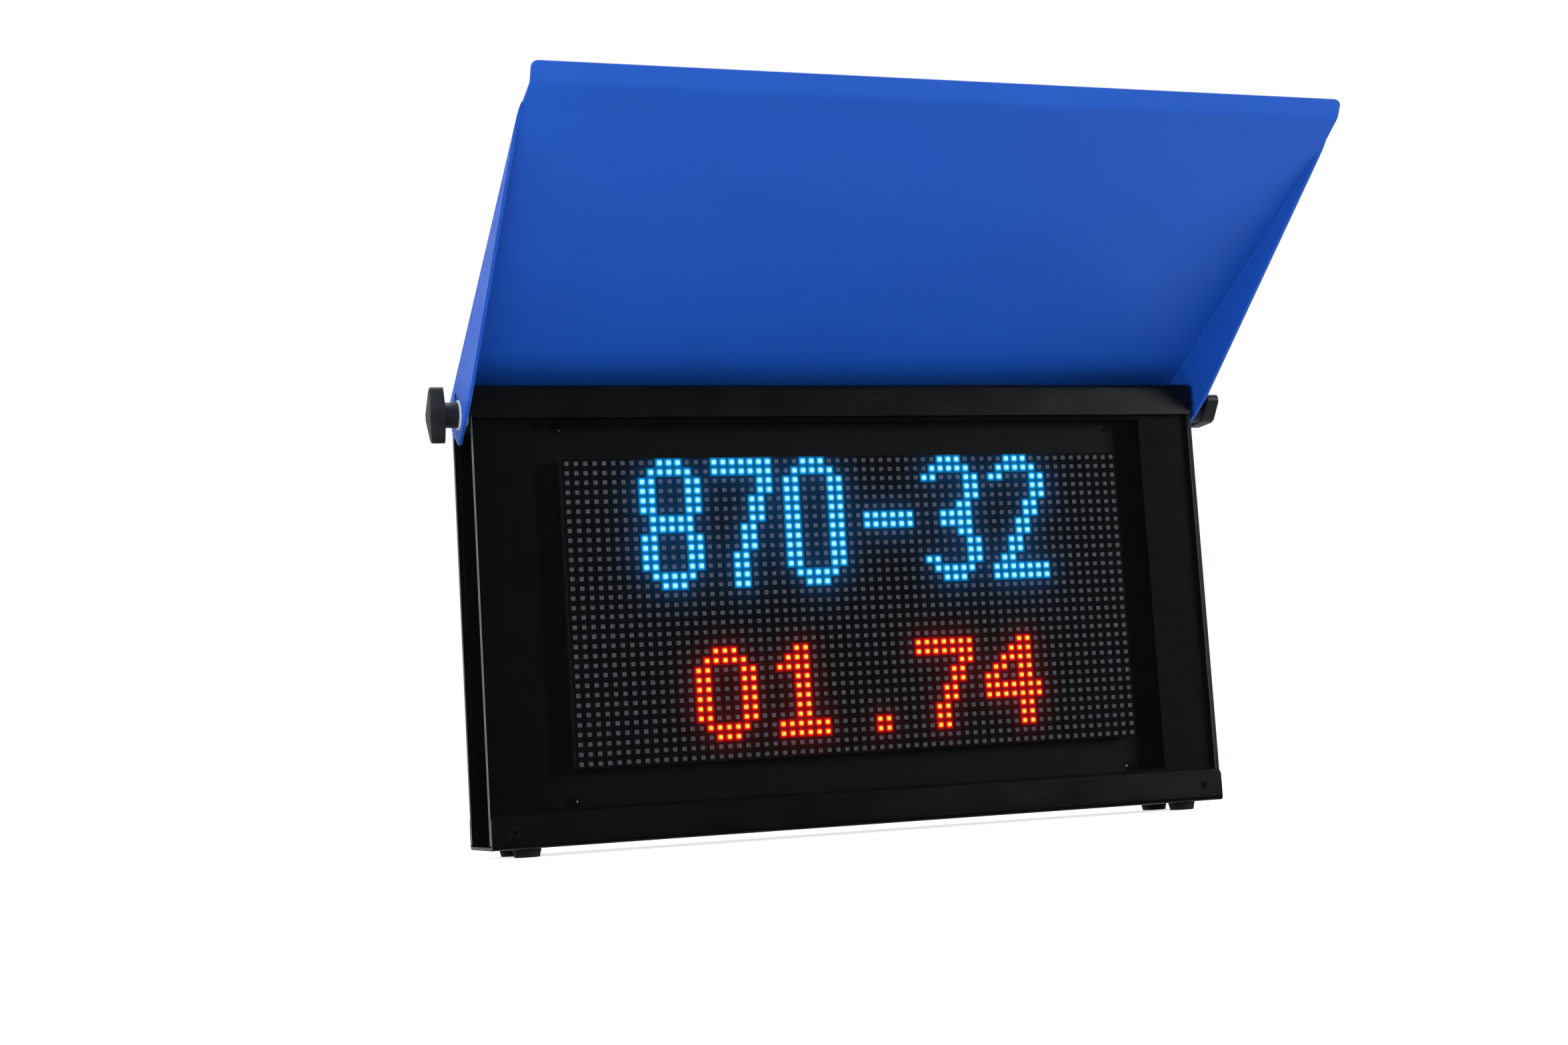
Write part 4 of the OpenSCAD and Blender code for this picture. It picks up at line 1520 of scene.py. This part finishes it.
@dataclass
class BaseFittings:
    """The rubber feet and the threads in the pole inserts."""

    foot_r: float = 9.0
    foot_bottom_r: float = 7.75
    bolt_r: float = 2.25
    recess_r: float = 4.4
    recess_depth: float = 3.0
    thread_pitch: float = 1.27
    thread_r: float = 2.6
    thread_depth: float = 0.42
    thread_length: float = 10.2
    thread_start: float = 0.6
    thread_root: float = 0.42
    turn_steps: int = 28

    def build(self) -> list[Piece]:
        """Makes the feet and the threads."""
        return [self.feet(), *[self.thread(side) for side in Side]]

    def feet(self) -> Piece:
        """Four tapered rubber feet, each with a recess for its screw."""
        low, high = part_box("rubber_feet")
        foot_h = -low.z * 1000
        profile = eased(
            [
                (self.bolt_r, 0.0),
                (self.foot_r, 0.0),
                (self.foot_bottom_r, -foot_h),
                (self.recess_r, -foot_h),
                (self.recess_r, self.recess_depth - foot_h),
                (self.bolt_r, self.recess_depth - foot_h),
            ],
            0.45,
        )
        bm = bmesh.new()
        for x in (low.x + mm(self.foot_r), high.x - mm(self.foot_r)):
            for y in (low.y + mm(self.foot_r), high.y - mm(self.foot_r)):
                turn_on_lathe(bm, profile, Matrix.Translation((x, y, 0.0)), 56)
        return finish_piece(
            "tapered_feet", bm, [FOOT_RUBBER], "housing", ["rubber_feet"]
        )

    def thread(self, side: Side) -> Piece:
        """The thread in one pole insert: a ridge that winds up its bore."""
        middle = centre_of(f"pole_insert_{side.word}")
        bm = bmesh.new()
        half = self.thread_pitch * self.thread_root
        points = [
            (self.thread_r + 0.02, -half),
            (self.thread_r - self.thread_depth, 0.0),
            (self.thread_r + 0.02, half),
        ]
        verts = [bm.verts.new((mm(r), 0.0, mm(h + self.thread_start))) for r, h in points]
        edges = [bm.edges.new(pair) for pair in zip(verts, verts[1:])]
        edges.append(bm.edges.new((verts[-1], verts[0])))
        turns = (self.thread_length - 2 * half) / self.thread_pitch
        steps = round(turns * self.turn_steps)
        bmesh.ops.spin(
            bm,
            geom=verts + edges,
            cent=(0.0, 0.0, 0.0),
            axis=(0.0, 0.0, 1.0),
            dvec=(0.0, 0.0, mm(turns * self.thread_pitch) / steps),
            angle=turns * math.tau,
            steps=steps,
            use_merge=False,
            use_duplicate=False,
        )
        bmesh.ops.holes_fill(bm, edges=[edge for edge in bm.edges if edge.is_boundary], sides=0)
        bmesh.ops.recalc_face_normals(bm, faces=bm.faces)
        bmesh.ops.translate(bm, vec=(middle.x, middle.y, 0.0), verts=bm.verts)
        return finish_piece(
            f"pole_thread_{side.word}", bm, [INSERT_STEEL], "housing"
        )


@dataclass
class RearControls:
    """The push button and the charge socket on the rear panel."""

    button_bezel_r: float = 9.4
    button_bezel_h: float = 1.8
    barrel_r: float = 7.9
    cap_r: float = 5.6
    cap_play: float = 0.08
    well_depth: float = 6.0
    socket_face_r: float = 8.0
    socket_face_h: float = 1.6
    socket_barrel_r: float = 5.9
    socket_bore_r: float = 2.8
    socket_bore_depth: float = 9.0
    pin_r: float = 1.05

    def build(self) -> list[Piece]:
        """Makes the button's housing and cap, and the socket."""
        _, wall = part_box("rear_panel")
        self.wall_y = wall.y
        return [self.button_ring(), self.button_cap(), self.socket()]

    def place(self, node: str) -> Matrix:
        """The place on the panel's face, looking out, in line with a solid."""
        middle = centre_of(node)
        return facing((0.0, 1.0, 0.0), (middle.x, self.wall_y, middle.z))

    def depth_of(self, node: str) -> float:
        """How far a solid reaches behind the panel's face, in millimetres."""
        low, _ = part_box(node)
        return (self.wall_y - low.y) * 1000

    def button_ring(self) -> Piece:
        """The turned steel bezel with its threaded barrel."""
        bm = bmesh.new()
        inner = self.cap_r + self.cap_play
        back = -self.depth_of("button_housing")
        profile = [
            (0.0, back),
            (self.barrel_r, back),
            (self.barrel_r, 0.0),
            (self.button_bezel_r, 0.0),
            (self.button_bezel_r, 0.7),
            (self.button_bezel_r - 0.9, self.button_bezel_h),
            (inner + 1.3, self.button_bezel_h),
            (inner + 1.0, self.button_bezel_h - 0.35),
            (inner, self.button_bezel_h - 0.35),
            (inner, -self.well_depth),
            (0.0, -self.well_depth),
        ]
        turn_on_lathe(bm, profile, self.place("button_housing"), 72, False)
        piece = finish_piece(
            "button_bezel", bm, [BUTTON_STEEL], "housing", ["button_housing"]
        )
        ease_edges(piece, 0.15, 2)
        return piece

    def button_cap(self) -> Piece:
        """The dished steel cap that is pressed."""
        low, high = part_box("button_cap")
        top = (high.y - self.wall_y) * 1000
        back = (low.y - self.wall_y) * 1000
        profile = [
            (0.0, back),
            (self.cap_r, back),
            (self.cap_r, top - 0.6),
            (self.cap_r - 0.15, top - 0.2),
            (self.cap_r - 0.6, top),
            (self.cap_r - 1.1, top - 0.02),
            (self.cap_r - 2.4, top - 0.32),
            (self.cap_r - 4.0, top - 0.5),
            (0.0, top - 0.56),
        ]
        bm = bmesh.new()
        turn_on_lathe(bm, profile, self.place("button_cap"), 72, False)
        return finish_piece(
            "dished_cap", bm, [BUTTON_STEEL], "button", ["button_cap"]
        )

    def socket(self) -> Piece:
        """The moulded socket with its contact pin."""
        back = -self.depth_of("charge_socket")
        bore = -self.socket_bore_depth
        shell = [
            (0.0, back),
            (self.socket_barrel_r, back),
            (self.socket_barrel_r, 0.0),
            (self.socket_face_r, 0.0),
            (self.socket_face_r, self.socket_face_h - 0.6),
            (self.socket_face_r - 0.6, self.socket_face_h),
            (self.socket_bore_r + 1.5, self.socket_face_h),
            (self.socket_bore_r + 1.2, self.socket_face_h - 0.4),
            (self.socket_bore_r + 0.4, self.socket_face_h - 0.4),
            (self.socket_bore_r, self.socket_face_h - 0.8),
            (self.socket_bore_r, bore),
            (0.0, bore),
        ]
        pin = [
            (0.0, bore - 0.5),
            (self.pin_r, bore - 0.5),
            (self.pin_r, -1.1),
            (self.pin_r * 0.7, -0.65),
            (0.0, -0.5),
        ]
        bm = bmesh.new()
        place = self.place("charge_socket")
        turn_on_lathe(bm, shell, place, 64, False)
        turn_on_lathe(bm, pin, place, 24, False, 1)
        return finish_piece(
            "charge_socket_shell",
            bm,
            [BLACK_NYLON, ZINC],
            "housing",
            ["charge_socket"],
        )


def dress_kept_solids() -> list[Piece]:
    """Gives each solid that keeps its shape its material.

    Returns:
        The solids.
    """
    dressed = []
    for finish, nodes in KEPT_SOLIDS.items():
        for node in nodes.split():
            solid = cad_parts[node]
            if not solid.material_slots:
                solid.data.materials.append(None)
            for slot in solid.material_slots:
                slot.material = finish.material()
            dressed.append(solid)
    return dressed


# ---------- studio ----------


@dataclass
class SoftBox:
    """A soft studio light that points at the board."""

    name: str
    spot: tuple[float, float, float]
    width: float
    height: float
    power: float
    aim: tuple[float, float, float] = (0.0, 0.0, 0.22)
    mirrored: bool = True

    def build(self) -> Piece:
        """Makes the light."""
        data = bpy.data.lights.new(self.name, "AREA")
        data.shape = "RECTANGLE"
        data.size = self.width
        data.size_y = self.height
        data.energy = self.power
        lamp = bpy.data.objects.new(self.name, data)
        lamp.visible_glossy = self.mirrored
        away = Vector(self.spot) - Vector(self.aim)
        lamp.matrix_world = facing(away, self.spot)
        bpy.context.scene.collection.objects.link(lamp)
        return lamp


@dataclass
class Studio:
    """The floor, the light and the camera."""

    floor_low: tuple[float, float] = (-3.2, -1.7)
    floor_high: tuple[float, float] = (3.2, 4.2)
    camera_spot: tuple[float, float, float] = (-0.5195, -1.3503, 0.0390)
    look: tuple[float, float, float] = (0.33277, 0.93656, 0.11006)
    up: tuple[float, float, float] = (0.0212, -0.1241, 0.9920)
    lens: float = 50.8
    dark_side: tuple[float, float] = (-0.35, 0.025)
    light_side: tuple[float, float] = (0.7, 0.7)
    lights: list[SoftBox] = field(
        default_factory=lambda: [
            SoftBox("key_left", (-2.3, -0.9, 0.9), 1.2, 1.2, 42.0),
            SoftBox("low_fill", (-0.7, -2.3, 0.3), 1.8, 0.6, 17.0, mirrored=False),
            SoftBox("overhead", (0.2, 0.6, 2.3), 2.4, 2.2, 36.0, aim=(0.2, 0.6, 0.0)),
            SoftBox("right_strip", (1.95, -1.45, 0.6), 0.9, 0.9, 26.0),
        ]
    )

    def build(self) -> None:
        """Sets the whole studio up."""
        self.floor()
        self.sky()
        for light in self.lights:
            light.build()
        self.camera()

    def floor(self) -> None:
        """A plain pale floor that the feet stand on."""
        bm = bmesh.new()
        low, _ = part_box("rubber_feet")
        wide = self.floor_high[0] - self.floor_low[0]
        deep = self.floor_high[1] - self.floor_low[1]
        middle = (
            (self.floor_high[0] + self.floor_low[0]) / 2,
            (self.floor_high[1] + self.floor_low[1]) / 2,
            low.z,
        )
        bmesh.ops.create_grid(
            bm,
            x_segments=1,
            y_segments=1,
            size=0.5,
            matrix=Matrix.Translation(middle) @ Matrix.Diagonal((wide, deep, 1.0, 1.0)),
        )
        mesh = bpy.data.meshes.new("floor")
        bm.to_mesh(mesh)
        bm.free()
        mesh.materials.append(StagePaper("pale_paper", "#f2f2f2", 0.9).material())
        floor = bpy.data.objects.new("floor", mesh)
        floor.visible_glossy = False
        bpy.context.scene.collection.objects.link(floor)

    def sky(self) -> None:
        """A white backdrop to look at, and a room that is dark in front of the board."""
        world = bpy.data.worlds.new("studio_room")
        world.use_nodes = True
        tree = world.node_tree
        tree.nodes.clear()
        where = add_node(tree, "TexCoord").outputs["Generated"]
        depth = add_node(tree, "SeparateXYZ", links={0: where})
        room = add_node(
            tree,
            "MapRange",
            {"interpolation_type": "SMOOTHSTEP"},
            {
                "Value": depth.outputs["Y"],
                "From Min": self.dark_side[0],
                "From Max": self.light_side[0],
                "To Min": self.dark_side[1],
                "To Max": self.light_side[1],
            },
        )
        dim = add_node(
            tree,
            "Background",
            links={"Color": linear("#f4f7fb"), "Strength": room.outputs["Result"]},
        )
        white = add_node(tree, "Background", links={"Color": WHITE, "Strength": 1.0})
        seen = add_node(tree, "LightPath").outputs["Is Camera Ray"]
        both = add_node(
            tree, "MixShader", links={0: seen, 1: dim.outputs[0], 2: white.outputs[0]}
        )
        add_node(tree, "OutputWorld", links={"Surface": both.outputs[0]})
        bpy.context.scene.world = world
        bpy.context.scene.view_settings.view_transform = "Standard"

    def camera(self) -> None:
        """The camera, low on the left and slightly rolled."""
        data = bpy.data.cameras.new("main_camera")
        data.lens = self.lens
        data.sensor_width = 36.0
        camera = bpy.data.objects.new("main_camera", data)
        back = -Vector(self.look).normalized()
        right = Vector(self.up).cross(back).normalized()
        turn = Matrix((right, back.cross(right), back)).transposed().to_4x4()
        camera.matrix_world = Matrix.Translation(self.camera_spot) @ turn
        bpy.context.scene.collection.objects.link(camera)
        bpy.context.scene.camera = camera


def main() -> None:
    """Builds every sub-assembly in order and logs the name of each piece and kept solid."""
    logging.basicConfig(level=logging.INFO, format="%(message)s")
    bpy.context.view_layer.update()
    Studio().build()
    for assembly in (
        SheetWork(),
        LedModule(),
        ClampKnob(Side.LEFT, math.radians(90)),
        ClampKnob(Side.RIGHT, math.radians(155)),
        PivotRings(),
        BaseFittings(),
        RearControls(),
    ):
        for piece in assembly.build():
            LOG.info("%s: %s", type(assembly).__name__, piece.name)
    for solid in dress_kept_solids():
        LOG.info("kept %s", solid.name)


if __name__ == "__main__":
    main()
